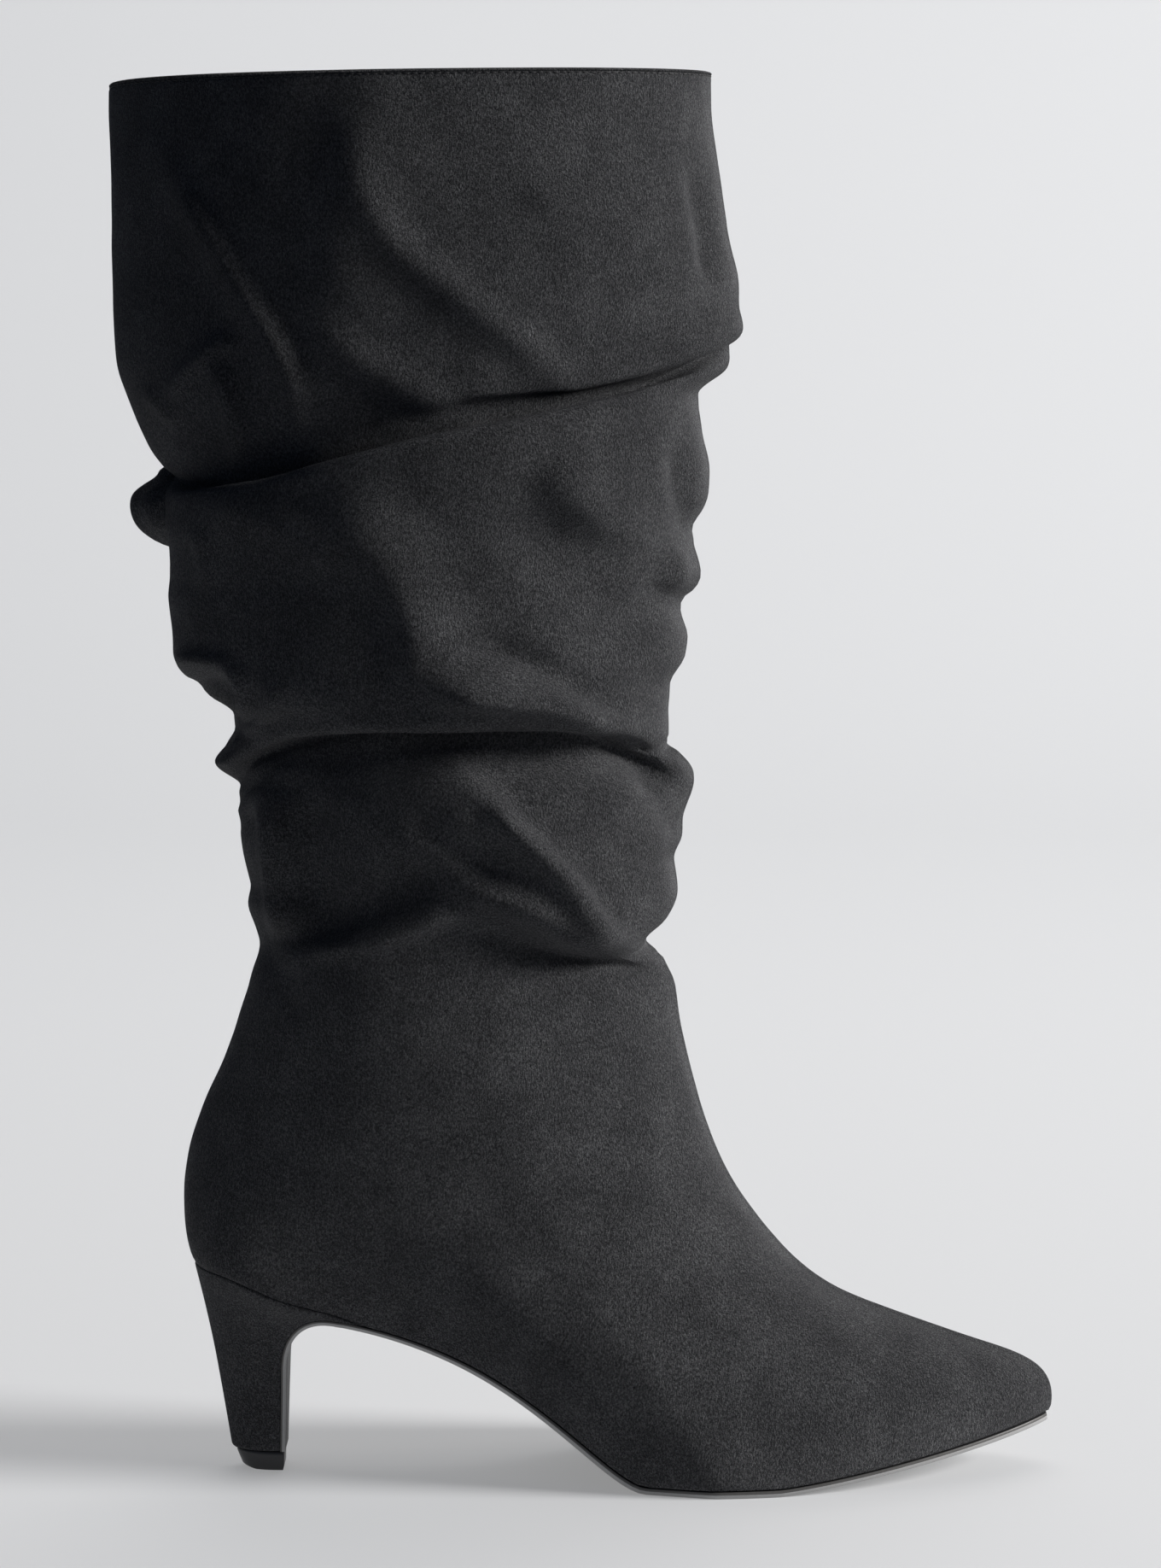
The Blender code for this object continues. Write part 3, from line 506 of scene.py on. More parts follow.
outerCreases = {
    # name: line of (x, z), height, width above, width below
    "back ridge": (((-24, 402), (-15, 386), (-5, 369), (5, 353), (13, 338), (15, 326)), 3.2, 3, 5),
    "arch top": (((-24, 328), (-20, 335), (-13, 342), (-7, 346), (-2, 342)), 2.4, 2.6, 3),
    "arch side": (((-12, 342), (-7, 335), (-4, 322), (-2, 308)), 2.6, 2.6, 3),
    "back edge line": (((-32, 332), (-27, 328), (-21, 321)), 1.6, 2.5, 2.5),
    "plane change": (((46, 424), (36, 404), (31, 385), (29, 365), (24, 348)), 2.2, 16, 11),
    "long ridge": (((32, 405), (36, 390), (46, 374), (58, 364), (70, 355), (82, 346), (92, 338), (99, 330)),
        2.2, 4.5, 6),
    "low ridge": (((16, 356), (28, 345), (38, 338), (50, 332), (64, 327)), 1.8, 6, 5),
    "front shelf": (((80, 390), (92, 385), (112, 379), (130, 380)), 1.6, 9, 6),
    "collar dent": (((76, 416), (96, 414), (118, 416)), -1.0, 4, 4),
    "front trough": (((131, 400), (134, 386), (136, 372), (137, 362)), -3.0, 3.5, 3.5),
    "overhang": (((40, 325), (62, 331), (80, 333), (100, 335.5), (120, 340), (140, 348), (160, 357)),
        3.2, 8, 2.6),
    "upper band": (((-18, 291), (-5, 297), (10, 294), (22, 286), (30, 276)), 2.4, 6, 7),
    "left ridge": (((-16, 292), (-13, 283), (-14, 272)), 1.5, 3, 3),
    "dark side": (((20, 304), (31, 293), (41, 281), (48, 268), (51, 254), (50, 244)), 3.4, 12, 8),
    "roll": (((50, 248), (62, 243), (76, 241), (90, 239), (104, 235), (118, 229)), 5.8, 8, 4),
    "roll valley": (((62, 258), (72, 257), (82, 253), (92, 247), (104, 240), (118, 235)), -2.8, 5, 3),
    "slant trough": (((76, 300), (92, 284), (108, 270), (121, 259)), -1.8, 9, 9),
    "slant ridge": (((88, 312), (104, 297), (120, 284)), 3.2, 8, 8),
    "middle front trough": (((127, 318), (129, 300), (131, 286)), -3.2, 3.5, 4),
    "front lump": (((113, 284), (121, 285), (127, 279), (127, 268)), 2.0, 3, 4),
    "front notch": (((116, 276), (124, 271), (132, 268)), -2.2, 3, 4),
    "front pocket": (((104, 230), (112, 225), (119, 217), (122, 210)), -2.6, 4, 4),
    "pinch top": (((-24, 251), (-14, 252), (-5, 251)), 2.2, 2.4, 2.5),
    "pinch side": (((-6, 252), (-3, 243), (-1, 233)), 2.6, 2.4, 2.5),
    "back pinch": (((-22, 244), (-10, 243), (-6, 238)), -3.4, 4, 4),
    "lip return": (((9, 247), (7, 241), (3, 234), (-2, 227)), 2.4, 2.6, 3),
    "back wrinkle": (((-7, 200), (0, 208), (9, 217)), 1.9, 2.5, 3.5),
    "lower back strip": (((6, 214), (7, 190), (9, 166)), 5.6, 7, 4),
    "lower back valley": (((17, 214), (17, 190), (17, 166)), -3.2, 8, 5),
    "lower plane change": (((58, 226), (62, 208), (58, 188)), 3.0, 9, 24),
    "ankle ridge": (((64, 219), (72, 211), (79, 203), (88, 194), (95, 186), (101, 177), (108, 170),
        (118, 162)), 5.4, 3.4, 5),
    "ankle trough": (((48, 208), (58, 200), (68, 193), (78, 187)), -2.2, 5, 5),
    "ankle shelf": (((56, 189), (70, 184), (86, 178), (98, 171), (108, 165)), 2.4, 5, 4),
    "ankle left ridge": (((10, 161), (25, 166), (40, 170), (55, 176), (68, 179)), 2.6, 4, 3),
    "ankle back trough": (((16, 172), (30, 178), (46, 185), (60, 190)), -2.4, 7, 6),
    "low dent": (((12, 160), (10, 152), (14, 143)), -1.2, 4, 4),
}
innerCreases = {
    "inner plane change": (((40, 420), (48, 395), (60, 372), (78, 352)), 2.2, 9, 9),
    "inner back ridge": (((12, 408), (2, 380), (-6, 352), (-8, 330)), 2.0, 5, 6),
    "inner low ridge": (((16, 352), (38, 344), (60, 342), (84, 344)), 2.2, 6, 6),
    "inner band": (((-12, 294), (12, 290), (36, 278), (58, 262)), 2.6, 7, 7),
    "inner slant": (((58, 306), (80, 296), (102, 278), (118, 258)), 2.4, 7, 8),
    "inner roll": (((6, 244), (34, 240), (60, 241), (86, 240), (110, 234)), 3.2, 7, 4),
    "inner ankle ridge": (((26, 218), (44, 204), (64, 192), (84, 182), (104, 172)), 3.4, 4.5, 5),
    "inner ankle trough": (((14, 198), (34, 187), (56, 179)), -2.0, 6, 5),
    "inner back wrinkle": (((-4, 208), (6, 197), (20, 188)), 1.8, 3, 4),
    "inner front wrinkle": (((126, 300), (116, 290), (104, 286)), 1.8, 3, 4),
}

upperSizes = {
    "around": 212,  # columns of the cloth, besides those along the seams
    "seamColumns": (0.25, 0.6, 1.1, 1.9, 3.0),  # degrees on each side of a seam
    "seamClear": 3.6,
    "footSteps": 9,  # rows of cloth for each row of the foot
    "foldSteps": 5,
    "betweenSteps": (6, 22, 46, 50),
    "collarBand": 0.006, "collarSteps": 14,
    "footEven": 40, "fixedRows": 4,  # times that the foot's rows are evened out, above these
    "sideEven": 24, "sideReach": 5, "sideEase": 14,
    "joinEven": 60, "joinReach": 14,  # the same for the rows where the shaft begins
    "outerFrom": 0.45, "outerFade": 0.5, "innerFade": 0.4, "facingGain": 1.6,  # where creases fade out
    "creaseEnd": 0.28, "creaseEndHeight": 0.15,  # share of a crease that rises, and its height at the end
    "stitchPull": 0.00022, "stitchDrop": 0.0014, "pullWidth": 0.0005,  # the cloth drawn in by the stitches
    "seamRidge": 0.0007, "seamWidth": 0.0016, "seamGroove": 0.0005, "grooveWidth": 0.00045, "frontRidge": 0.6,
    "broadWave": 0.0006, "broadScale": 30, "fineWave": 0.00016, "fineScale": 110,
    "calmRows": 12, "calmLeast": 0.15,  # the waves grow upwards from the lower edge
    "edgeRound": 0.0003, "edgeRows": 0.22,  # the lower edge is pulled in by this much
    "facing": 0.013,  # suede turned in at the collar
    "backWall": 0.0012,  # from the face to the back of the suede, below the facing
    "backStep": 0.006, "liningGap": 0.0002, "liningStep": 0.009,
    "ringNear": 0.0065, "ringBeside": 3, "ringDrop": 0.002,  # how much cloth an inner ring looks at
    "ringFirst": 4, "ringEvery": 8,  # the foot's rows that have an inner ring, from the top
    "creaseSteps": 12,
}


def clothTurns():
    turns = list(np.linspace(0, 2 * np.pi, upperSizes["around"], endpoint=False))
    clear = math.radians(upperSizes["seamClear"])
    for seam in (0.0, np.pi):
        turns = [t for t in turns if abs(math.remainder(t - seam, 2 * np.pi)) > clear] + [seam]
        turns += [seam + s * math.radians(a) for a in upperSizes["seamColumns"] for s in (-1, 1)]
    return np.sort(np.mod(turns, 2 * np.pi))


def clothHeights(turn):
    knots = [np.full_like(turn, boot["shaftStart"])]
    steps = []
    for fold, between in zip(folds.values(), upperSizes["betweenSteps"]):
        line = foldHeight(fold, turn)
        knots += [line + k * foldForm["span"] for k in foldForm["knots"]]
        steps += [between] + [upperSizes["foldSteps"]] * (len(foldForm["knots"]) - 1)
    knots += [collarHeight(turn) - upperSizes["collarBand"], collarHeight(turn)]
    steps += [upperSizes["betweenSteps"][-1], upperSizes["collarSteps"]]
    rows = [mix(low, high, i / count)
            for low, high, count in zip(knots, knots[1:], steps) for i in range(count)]
    return np.array(rows + [knots[-1]])


def gridNormals(grid):
    ahead = np.roll(grid, -1, 1) - np.roll(grid, 1, 1)
    up = np.gradient(grid, axis=0)
    normal = np.cross(ahead, up)
    size = np.linalg.norm(normal, axis=-1, keepdims=True)
    return normal / np.maximum(size, 1e-12)


def strokeShape(x, z, line, above, below):
    # 1 along a crease's line, down to 0 beside it and less at its ends
    knots = np.array(line, float)
    t = np.linspace(0, len(knots) - 1, upperSizes["creaseSteps"] * (len(knots) - 1) + 1)
    i = np.clip(t.astype(int), 0, len(knots) - 2)
    path = curveBetween(*(knots[np.clip(i + k, 0, len(knots) - 1)] for k in (-1, 0, 1, 2)), (t - i)[:, None])
    best = np.full(x.shape, 1e9)
    signed, place = np.zeros(x.shape), np.zeros(x.shape)
    for k in range(len(path) - 1):
        run = path[k + 1] - path[k]
        length = np.hypot(*run)
        dx, dz = x - path[k][0], z - path[k][1]
        s = clamp((dx * run[0] + dz * run[1]) / length ** 2)
        away = np.hypot(dx - s * run[0], dz - s * run[1])
        near = away < best
        best = np.where(near, away, best)
        signed = np.where(near, (dz * run[0] - dx * run[1]) / length, signed)
        place = np.where(near, (k + s) / (len(path) - 1), place)
    least = upperSizes["creaseEndHeight"]
    ends = least + (1 - least) * soften(np.minimum(place, 1 - place) / upperSizes["creaseEnd"])
    return ends * bell(best / np.where(signed > 0, above, below))


def evenOut(grid, first, last, times, ease=1):
    for i in range(times):
        part = grid[first - 1:last + 1]
        grid[first:last] += 0.5 * ease * ((part[:-2] + part[2:]) / 2 - part[1:-1])


def evenFoot(grid, join, turns):
    fixed, reach, near = upperSizes["fixedRows"], upperSizes["sideReach"], upperSizes["joinReach"]
    evenOut(grid, fixed, join + 1, upperSizes["footEven"])
    place = np.arange(fixed + 2, join + fixed + 2)
    early = np.minimum((place - fixed) / upperSizes["sideEase"], 1)[:, None, None]
    early = early * (np.sin(turns) ** 2)[None, :, None]
    for i in range(upperSizes["sideEven"]):
        ahead, behind = grid[place + reach], grid[np.maximum(place - reach, 0)]
        grid[place] += 0.5 * early * ((ahead + behind) / 2 - grid[place])
    ease = np.cos(np.linspace(-np.pi / 2, np.pi / 2, 2 * near + 1))[:, None, None]
    evenOut(grid, join - near, join + near + 1, upperSizes["joinEven"], ease)


def fromMiddle(points, share):
    return points[..., :2] - np.stack([shaftMiddle(share), 0 * share], -1)


def creaseLift(grid, normal, turns, cloth):
    lift = np.zeros(grid.shape[:2])
    x, z = grid[..., 0] * 1000, grid[..., 2] * 1000
    aside = np.broadcast_to(np.sin(turns), grid.shape[:2])
    sides = {"outer": soften((aside + upperSizes["outerFrom"]) / upperSizes["outerFade"]),
             "inner": soften(-aside / upperSizes["innerFade"])}
    apart = unit(fromMiddle(grid, clamp(heightShare(grid[..., 2]))))
    facing = normal[..., 0] * apart[..., 0] + normal[..., 1] * apart[..., 1]
    facing = soften(facing * upperSizes["facingGain"])
    for side, lines in (("outer", outerCreases), ("inner", innerCreases)):
        where = (cloth > 0) & (sides[side] > 0)
        for line, height, above, below in lines.values():
            shape = strokeShape(x[where], z[where], line, above, below)
            lift[where] += 0.001 * height * sides[side][where] * facing[where] * shape
    return lift


def upperGrid():
    turns = clothTurns()
    levels = np.linspace(0, len(footRows) - 1, (len(footRows) - 1) * upperSizes["footSteps"] + 1)[:-1]
    foot = footSurface(turns[None, :] + 0 * levels[:, None], levels[:, None] + 0 * turns[None, :])
    heights = clothHeights(turns)
    grid = np.concatenate([foot, shaftSurface(turns, heights)])
    evenFoot(grid, len(foot), turns)
    cloth = np.concatenate([np.zeros(foot.shape[:2]), heights])
    normal = gridNormals(grid)
    lift = creaseLift(grid, normal, turns, cloth)
    middle = np.abs(grid[..., 1] - swing(grid[..., 0]))
    ridge = upperSizes["seamRidge"] * bell(middle / upperSizes["seamWidth"])
    groove = upperSizes["seamGroove"] * bell(middle / upperSizes["grooveWidth"])
    lift += np.where(np.cos(turns)[None, :] < -0.5, ridge - groove, upperSizes["frontRidge"] * ridge - groove)
    fall = collarHeight(turns)[None, :] - cloth - upperSizes["stitchDrop"]
    lift -= upperSizes["stitchPull"] * bell(fall / upperSizes["pullWidth"])
    rows = np.arange(len(grid))[:, None] / upperSizes["footSteps"]
    lift -= upperSizes["edgeRound"] * bell(rows / upperSizes["edgeRows"])
    waves = [upperSizes["broadWave"] * noise.noise(Vector(p) * upperSizes["broadScale"])
             + upperSizes["fineWave"] * noise.noise(Vector(p) * upperSizes["fineScale"])
             for p in grid.reshape(-1, 3)]
    calm = np.clip(rows / upperSizes["calmRows"], upperSizes["calmLeast"], 1)
    lift += np.array(waves).reshape(grid.shape[:2]) * calm
    return turns, grid + normal * lift[..., None], cloth


def newObject(name, grid, finishes, ends=None, closed=False, slots=None):
    # A mesh over rings of points: closed round, or ended by flat faces or by those given
    rings, count = grid.shape[:2]
    faces = [(r * count + i, r * count + (i + 1) % count, (r + 1) % rings * count + (i + 1) % count,
              (r + 1) % rings * count + i)
             for r in range(rings if closed else rings - 1) for i in range(count)]
    if not closed:
        faces += ends or [tuple(range(count)), tuple(range((rings - 1) * count, rings * count))]
    mesh = bpy.data.meshes.new(name)
    mesh.from_pydata([tuple(p) for p in grid.reshape(-1, 3)], [], faces)
    if slots is not None:
        mesh.polygons.foreach_set("material_index", slots)
    build = bmesh.new()
    build.from_mesh(mesh)
    bmesh.ops.recalc_face_normals(build, faces=build.faces)
    build.to_mesh(mesh)
    build.free()
    for finish in finishes:
        mesh.materials.append(finish)
    mesh.shade_smooth()
    return addObject(name, mesh)


# Finishes

def newGroup(name, kind, inputs, outputs):
    tree = bpy.data.node_groups.new(name, kind)
    for way, sockets in (("INPUT", inputs), ("OUTPUT", outputs)):
        for socket, value in sockets.items():
            tree.interface.new_socket(name=socket, in_out=way, socket_type="NodeSocket" + value)
    return tree, tree.nodes.new("NodeGroupInput").outputs, tree.nodes.new("NodeGroupOutput")


def calculate(tree, operation, *values, kind="ShaderNodeMath", **settings):
    return addNode(tree, kind, dict(enumerate(values)), operation=operation, **settings).outputs[0]


napForm = {
    # scale, detail and roughness of the noise, and the span of it that becomes 0 to 1
    "strokes": (1.0, 3.0, 0.62, 0.38, 0.63),
    "specks": (1.7, 2.0, 0.6, 0.4, 0.62),
    "patches": (1.0, 4.0, 0.55, 0.3, 0.7),
    "lean": (0.4, 0.4, 0.4), "stretch": (1.0, 1.0, 0.6),
    "strokeShare": 0.6, "patchShare": 0.2, "tipAndGlintPower": 2.2, "smoothest": 0.78,
}


def napGroup():
    inputs = {"Place": "Vector", "Fibre Size": "Float", "Patch Size": "Float",
              "Dark": "Color", "Bright Tips And Glints": "Color"}
    outputs = {"Color": "Color", "Roughness": "Float", "Height": "Float"}
    tree, given, end = newGroup("brushedNap", "ShaderNodeTree", inputs, outputs)
    vectors = "ShaderNodeVectorMath"

    def scaled(size):
        inverse = calculate(tree, "DIVIDE", 1.0, given[size])
        return addNode(tree, vectors, {0: given["Place"], "Scale": inverse}, operation="SCALE").outputs[0]

    def pattern(name, vector):
        scale, detail, rough, low, high = napForm[name]
        cloud = addNode(tree, "ShaderNodeTexNoise",
                        {"Vector": vector, "Scale": scale, "Detail": detail, "Roughness": rough})
        spread = {"Value": cloud.outputs["Fac"], "From Min": low, "From Max": high}
        return addNode(tree, "ShaderNodeMapRange", spread).outputs["Result"]

    bend = addNode(tree, "ShaderNodeTexNoise", {"Vector": scaled("Patch Size"), "Scale": 1.0, "Detail": 1.0})
    fibres = scaled("Fibre Size")
    lean = calculate(tree, "MULTIPLY_ADD", bend.outputs["Color"], napForm["lean"], fibres, kind=vectors)
    stretched = calculate(tree, "MULTIPLY", lean, napForm["stretch"], kind=vectors)
    specks = calculate(tree, "MULTIPLY", pattern("specks", lean), 1 - napForm["strokeShare"])
    fibre = calculate(tree, "MULTIPLY_ADD", pattern("strokes", stretched), napForm["strokeShare"], specks)
    share = calculate(tree, "MULTIPLY", fibre, 1 - napForm["patchShare"])
    patches = pattern("patches", scaled("Patch Size"))
    shade = calculate(tree, "MULTIPLY_ADD", patches, napForm["patchShare"], share)
    # Sparse bright specks: the nap's own grain, and painted glints of lit fibre tips
    tipsAndGlints = calculate(tree, "POWER", shade, napForm["tipAndGlintPower"], use_clamp=True)
    mixed = {"Factor": tipsAndGlints, 6: given["Dark"], 7: given["Bright Tips And Glints"]}
    colour = addNode(tree, "ShaderNodeMix", mixed, data_type="RGBA")
    rough = addNode(tree, "ShaderNodeMapRange",
                    {"Value": shade, "To Min": 1.0, "To Max": napForm["smoothest"]})
    setInputs(end, {"Color": colour.outputs[2], "Roughness": rough.outputs["Result"], "Height": fibre})
    return tree


suedeFinish = {
    # The bright speck colour is partly the nap's grain and partly painted glints of lit fibres
    "dark": (0.004, 0.0043, 0.0056, 1), "brightTipsAndGlints": (0.205, 0.207, 0.212, 1),
    "fibreSize": 0.0005, "patchSize": 0.016, "bump": 0.0036, "bumpStrength": 0.8, "roughness": 0.8,
    "specular": 0.07, "sheen": 0.13, "sheenRoughness": 0.5, "sheenTint": (0.95, 0.95, 1.0, 1),
}
brushedNap = napGroup()


def suedeMaterial(name, finish):
    made, tree, shader = newMaterial(name)
    nap = addNode(tree, "ShaderNodeGroup", node_tree=brushedNap)
    setInputs(nap, {"Place": addNode(tree, "ShaderNodeTexCoord").outputs["Object"],
                    "Fibre Size": finish["fibreSize"], "Patch Size": finish["patchSize"],
                    "Dark": finish["dark"], "Bright Tips And Glints": finish["brightTipsAndGlints"]})
    bump = addNode(tree, "ShaderNodeBump", {"Strength": finish["bumpStrength"], "Distance": finish["bump"],
                                            "Height": nap.outputs["Height"]})
    setInputs(shader, {
        "Base Color": nap.outputs["Color"], "Normal": bump.outputs["Normal"],
        "Roughness": calculate(tree, "MULTIPLY", nap.outputs["Roughness"], finish["roughness"]),
        "Specular IOR Level": finish["specular"], "Sheen Weight": finish["sheen"],
        "Sheen Roughness": finish["sheenRoughness"], "Sheen Tint": finish["sheenTint"],
    })
    return made


plainFinishes = {
    # name: dark and light colour, size of the grain, roughness, depth of the grain, specular
    "liningCloth": ((0.016, 0.015, 0.015, 1), (0.034, 0.032, 0.031, 1), 0.0006, 0.88, 0.0001, 0.2),
    "soleEdge": ((0.052, 0.05, 0.048, 1), (0.08, 0.077, 0.074, 1), 0.0009, 0.42, 0.00006, 0.5),
    # the bevel's light grey is painted reflection of the bright floor below it, on the same sole as the
    # darker edge
    "soleBevelPaintedReflection": ((0.27, 0.268, 0.266, 1), (0.35, 0.347, 0.344, 1), 0.0009, 0.36, 0.00006, 0.5),
    "soleTread": ((0.014, 0.014, 0.015, 1), (0.026, 0.026, 0.027, 1), 0.0012, 0.55, 0.00012, 0.4),
    "tipRubber": ((0.02, 0.02, 0.022, 1), (0.032, 0.032, 0.034, 1), 0.0008, 0.36, 0.00006, 0.5),
    "sockCloth": ((0.022, 0.021, 0.021, 1), (0.045, 0.043, 0.042, 1), 0.0008, 0.85, 0.0001, 0.2),
    "thread": ((0.008, 0.008, 0.009, 1), (0.022, 0.022, 0.023, 1), 0.0004, 0.6, 0.00005, 0.4),
}
plainForm = {
    "detail": 4.0, "grainRoughness": 0.6, "bumpStrength": 0.5,
    "roughnessSpan": 0.08,  # this much rougher and smoother in the grain
}


def plainMaterial(name, dark, light, grain, roughness, depth, specular):
    made, tree, shader = newMaterial(name)
    source = addNode(tree, "ShaderNodeTexCoord").outputs["Object"]
    speckle = addNode(tree, "ShaderNodeTexNoise", {
        "Vector": source, "Scale": 1 / grain, "Detail": plainForm["detail"],
        "Roughness": plainForm["grainRoughness"]}).outputs["Fac"]
    colour = addNode(tree, "ShaderNodeMix", {"Factor": speckle, 6: dark, 7: light}, data_type="RGBA")
    span = plainForm["roughnessSpan"]
    rough = addNode(tree, "ShaderNodeMapRange",
                    {"Value": speckle, "To Min": roughness - span, "To Max": roughness + span})
    bump = addNode(tree, "ShaderNodeBump",
                   {"Strength": plainForm["bumpStrength"], "Distance": depth, "Height": speckle})
    setInputs(shader, {"Base Color": colour.outputs[2], "Roughness": rough.outputs["Result"],
                       "Normal": bump.outputs["Normal"], "Specular IOR Level": specular})
    return made


suede = suedeMaterial("suede", suedeFinish)
plain = {name: plainMaterial(name, *values) for name, values in plainFinishes.items()}
print("finishes made")

# Upper: the suede, turned over at the collar, and its lining

turns, clothGrid, clothHeight = upperGrid()
normals = gridNormals(clothGrid)


def innerRings(depth, step):
    # Rings inside the cloth, under every fold, from below the facing down to the lower edge of the upper
    shaft = clothGrid[clothHeight[:, 0] > 0]
    top = clothGrid[-1][:, 2].min() - upperSizes["facing"] - upperSizes["ringDrop"]
    beside = range(-upperSizes["ringBeside"], upperSizes["ringBeside"] + 1)
    rings = []
    for height in np.arange(top, boot["shaftStart"], -step):
        share = heightShare(height)
        centre = np.array([shaftMiddle(share), 0])
        apart = fromMiddle(shaft, share)
        near = np.abs(shaft[..., 2] - height) < upperSizes["ringNear"]
        way = unit((unit(apart) * near[..., None]).sum(0))
        least = np.where(near, np.linalg.norm(apart, axis=-1), 1).min(0)
        inside = np.min([np.roll(least, k) for k in beside], axis=0) - depth
        rings.append(np.column_stack([centre + way * inside[:, None], np.full(len(way), height)]))
    foot = np.flatnonzero(clothHeight[:, 0] == 0)
    for r in list(foot[-upperSizes["ringFirst"]::-upperSizes["ringEvery"]]) + [0]:
        ring = clothGrid[r] - normals[r] * depth
        ring[:, 2] = clothGrid[r][:, 2] if r == 0 else ring[:, 2]
        rings.append(ring)
    return rings


def makeUpper():
    wall, facing = boot["wall"], upperSizes["facing"]
    rings = [clothGrid[r] for r in range(len(clothGrid) - 1)]
    top, out = clothGrid[-1], unit(normals[-1] * np.array([1, 1, 0]))
    middle = top - out * wall / 2
    for angle in range(0, 181, 30):
        a = math.radians(angle)
        drop = np.array([0, 0, 1]) * (wall / 2) * (math.sin(a) - 1)
        rings.append(middle + out * (wall / 2) * math.cos(a) + drop)
    rings += [top - out * wall - np.array([0, 0, drop]) for drop in (facing / 2, facing)]
    rings += innerRings(upperSizes["backWall"], upperSizes["backStep"])
    upper = newObject("upperSuede", np.array(rings), [suede], closed=True)
    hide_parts("upper")
    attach(upper, "root")


def makeLining():
    outer = innerRings(upperSizes["backWall"] + upperSizes["liningGap"], upperSizes["liningStep"])
    inner = innerRings(boot["wall"], upperSizes["liningStep"])
    grid = np.array(outer + inner[::-1])[:, ::2]
    lining = newObject("lining", grid, [plain["liningCloth"]], closed=True)
    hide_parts("upper")
    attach(lining, "root")


makeUpper()
makeLining()
print("upper and lining made")

# Outsole: down the heel's breast, along the waist and under the forefoot

soleSizes = {
    "inset": 0.0005,  # the sole's edge behind the upper's
    "tipHeight": 0.006, "stemWidth": 0.0166, "stemLength": 0.0168,
    "cornerEnd": 0.9,  # where along the rounded corner the heel's top ends
    "cornerRound": 0.00022,
    "bevel": 0.0009, "waistBevel": 0.0003, "treadIn": 0.0002,
    "shoulder": 0.55, "shoulderUp": 0.05, "shoulderDown": 0.08, "bevelFoot": 0.07,  # shares of the thickness
    "shoulderIn": 0.12, "bevelIn": 0.85,  # shares of the bevel
    "end": 0.001, "chin": 0.0004,
    "straightSteps": 12, "cornerSteps": 26, "footSteps": 130,
}
heelSpread = smoothThrough(((0.00, 0.00), (0.25, 0.09), (0.5, 0.24), (0.75, 0.55), (1.00, 1.00)))
heelBackLine = smoothThrough(((0.00, 0.000), (0.33, 0.285), (0.56, 0.495), (0.79, 0.745), (1.00, 1.000)))
seamGap = 0.00012  # between the finished pieces
roundMiddle = 0.3  # the middle of a small rounding, as a share of it
stemBack = boot["stemFront"] - soleSizes["stemLength"]


def soleLine():
    # The underside's middle line from the heel tip to the toe, its upward normals and the way up the heel
    low = soleSizes["tipHeight"] + seamGap
    up = np.linspace(0, 1, soleSizes["straightSteps"])
    straight = np.stack([mix(boot["stemFront"], breastFront, up), mix(low, boot["breastHeight"], up)], 1)
    corner = bezier(cornerCurve, np.linspace(0, 1, soleSizes["cornerSteps"])).T
    ahead = np.sin(np.linspace(0, np.pi / 2, soleSizes["footSteps"]))
    x = mix(shankX, toeEdge - soleSizes["chin"], ahead)
    line = np.concatenate([straight, corner[1:], np.stack([x, underSole(x)], 1)[1:]])
    way = unit(np.gradient(line, axis=0))
    normal = np.stack([-way[:, 1], way[:, 0]], 1)
    normal[0] = (-1, 0)
    length = np.concatenate([[0], np.cumsum(np.linalg.norm(np.diff(line, axis=0), axis=1))])
    top = int(soleSizes["straightSteps"] + soleSizes["cornerEnd"] * soleSizes["cornerSteps"])
    return line, normal, clamp(length / (length[top] + soleSizes["chin"]))


def makeOutsole():
    line, normal, climb = soleLine()
    thick = soleThickness(line[:, 0])
    bevel = waistToBall(line[:, 0], soleSizes["waistBevel"], soleSizes["bevel"])
    away = np.maximum(line[:, 0], line[:, 0] + normal[:, 0] * thick)
    half = {}
    for side in (-1, 1):
        full = outlineAt(away, side) - soleSizes["inset"]
        half[side] = np.maximum(mix(soleSizes["stemWidth"] / 2, full, heelSpread(climb)), soleSizes["end"])
    r, shoulder = soleSizes["cornerRound"], soleSizes["shoulder"]
    rings = []
    for i in range(len(line)):
        # From the top edge down to the tread: how far in, and the share of the thickness
        b = min(bevel[i], half[-1][i] / 2, half[1][i] / 2)
        profile = ((r, 1), (roundMiddle * r, 1 - roundMiddle * r / thick[i]), (0, 1 - r / thick[i]),
                   (0, shoulder + soleSizes["shoulderUp"]),
                   (soleSizes["shoulderIn"] * b, shoulder - soleSizes["shoulderDown"]),
                   (soleSizes["bevelIn"] * b, soleSizes["bevelFoot"]), (b + soleSizes["treadIn"], 0))
        ring = []
        for side, points in ((-1, profile), (1, profile[::-1])):
            for inward, rise in points:
                at = line[i] + normal[i] * thick[i] * rise
                y = swing(line[i][0]) + side * (half[side][i] - inward)
                ring.append((at[0], y, at[1]))
        rings.append(ring)
    # the bevel's faces take the finish with the painted floor reflection
    finishes = [plain["soleEdge"], plain["soleBevelPaintedReflection"], plain["soleTread"]]
    slots = [0, 0, 0, 1, 1, 1, 2, 1, 1, 1, 0, 0, 0, 2] * (len(rings) - 1) + [0, 0]
    sole = newObject("soleUnit", np.array(rings), finishes, slots=slots)
    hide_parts("outsole")
    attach(sole, "root")


# Heel: a slim block covered with the same suede, on its tip

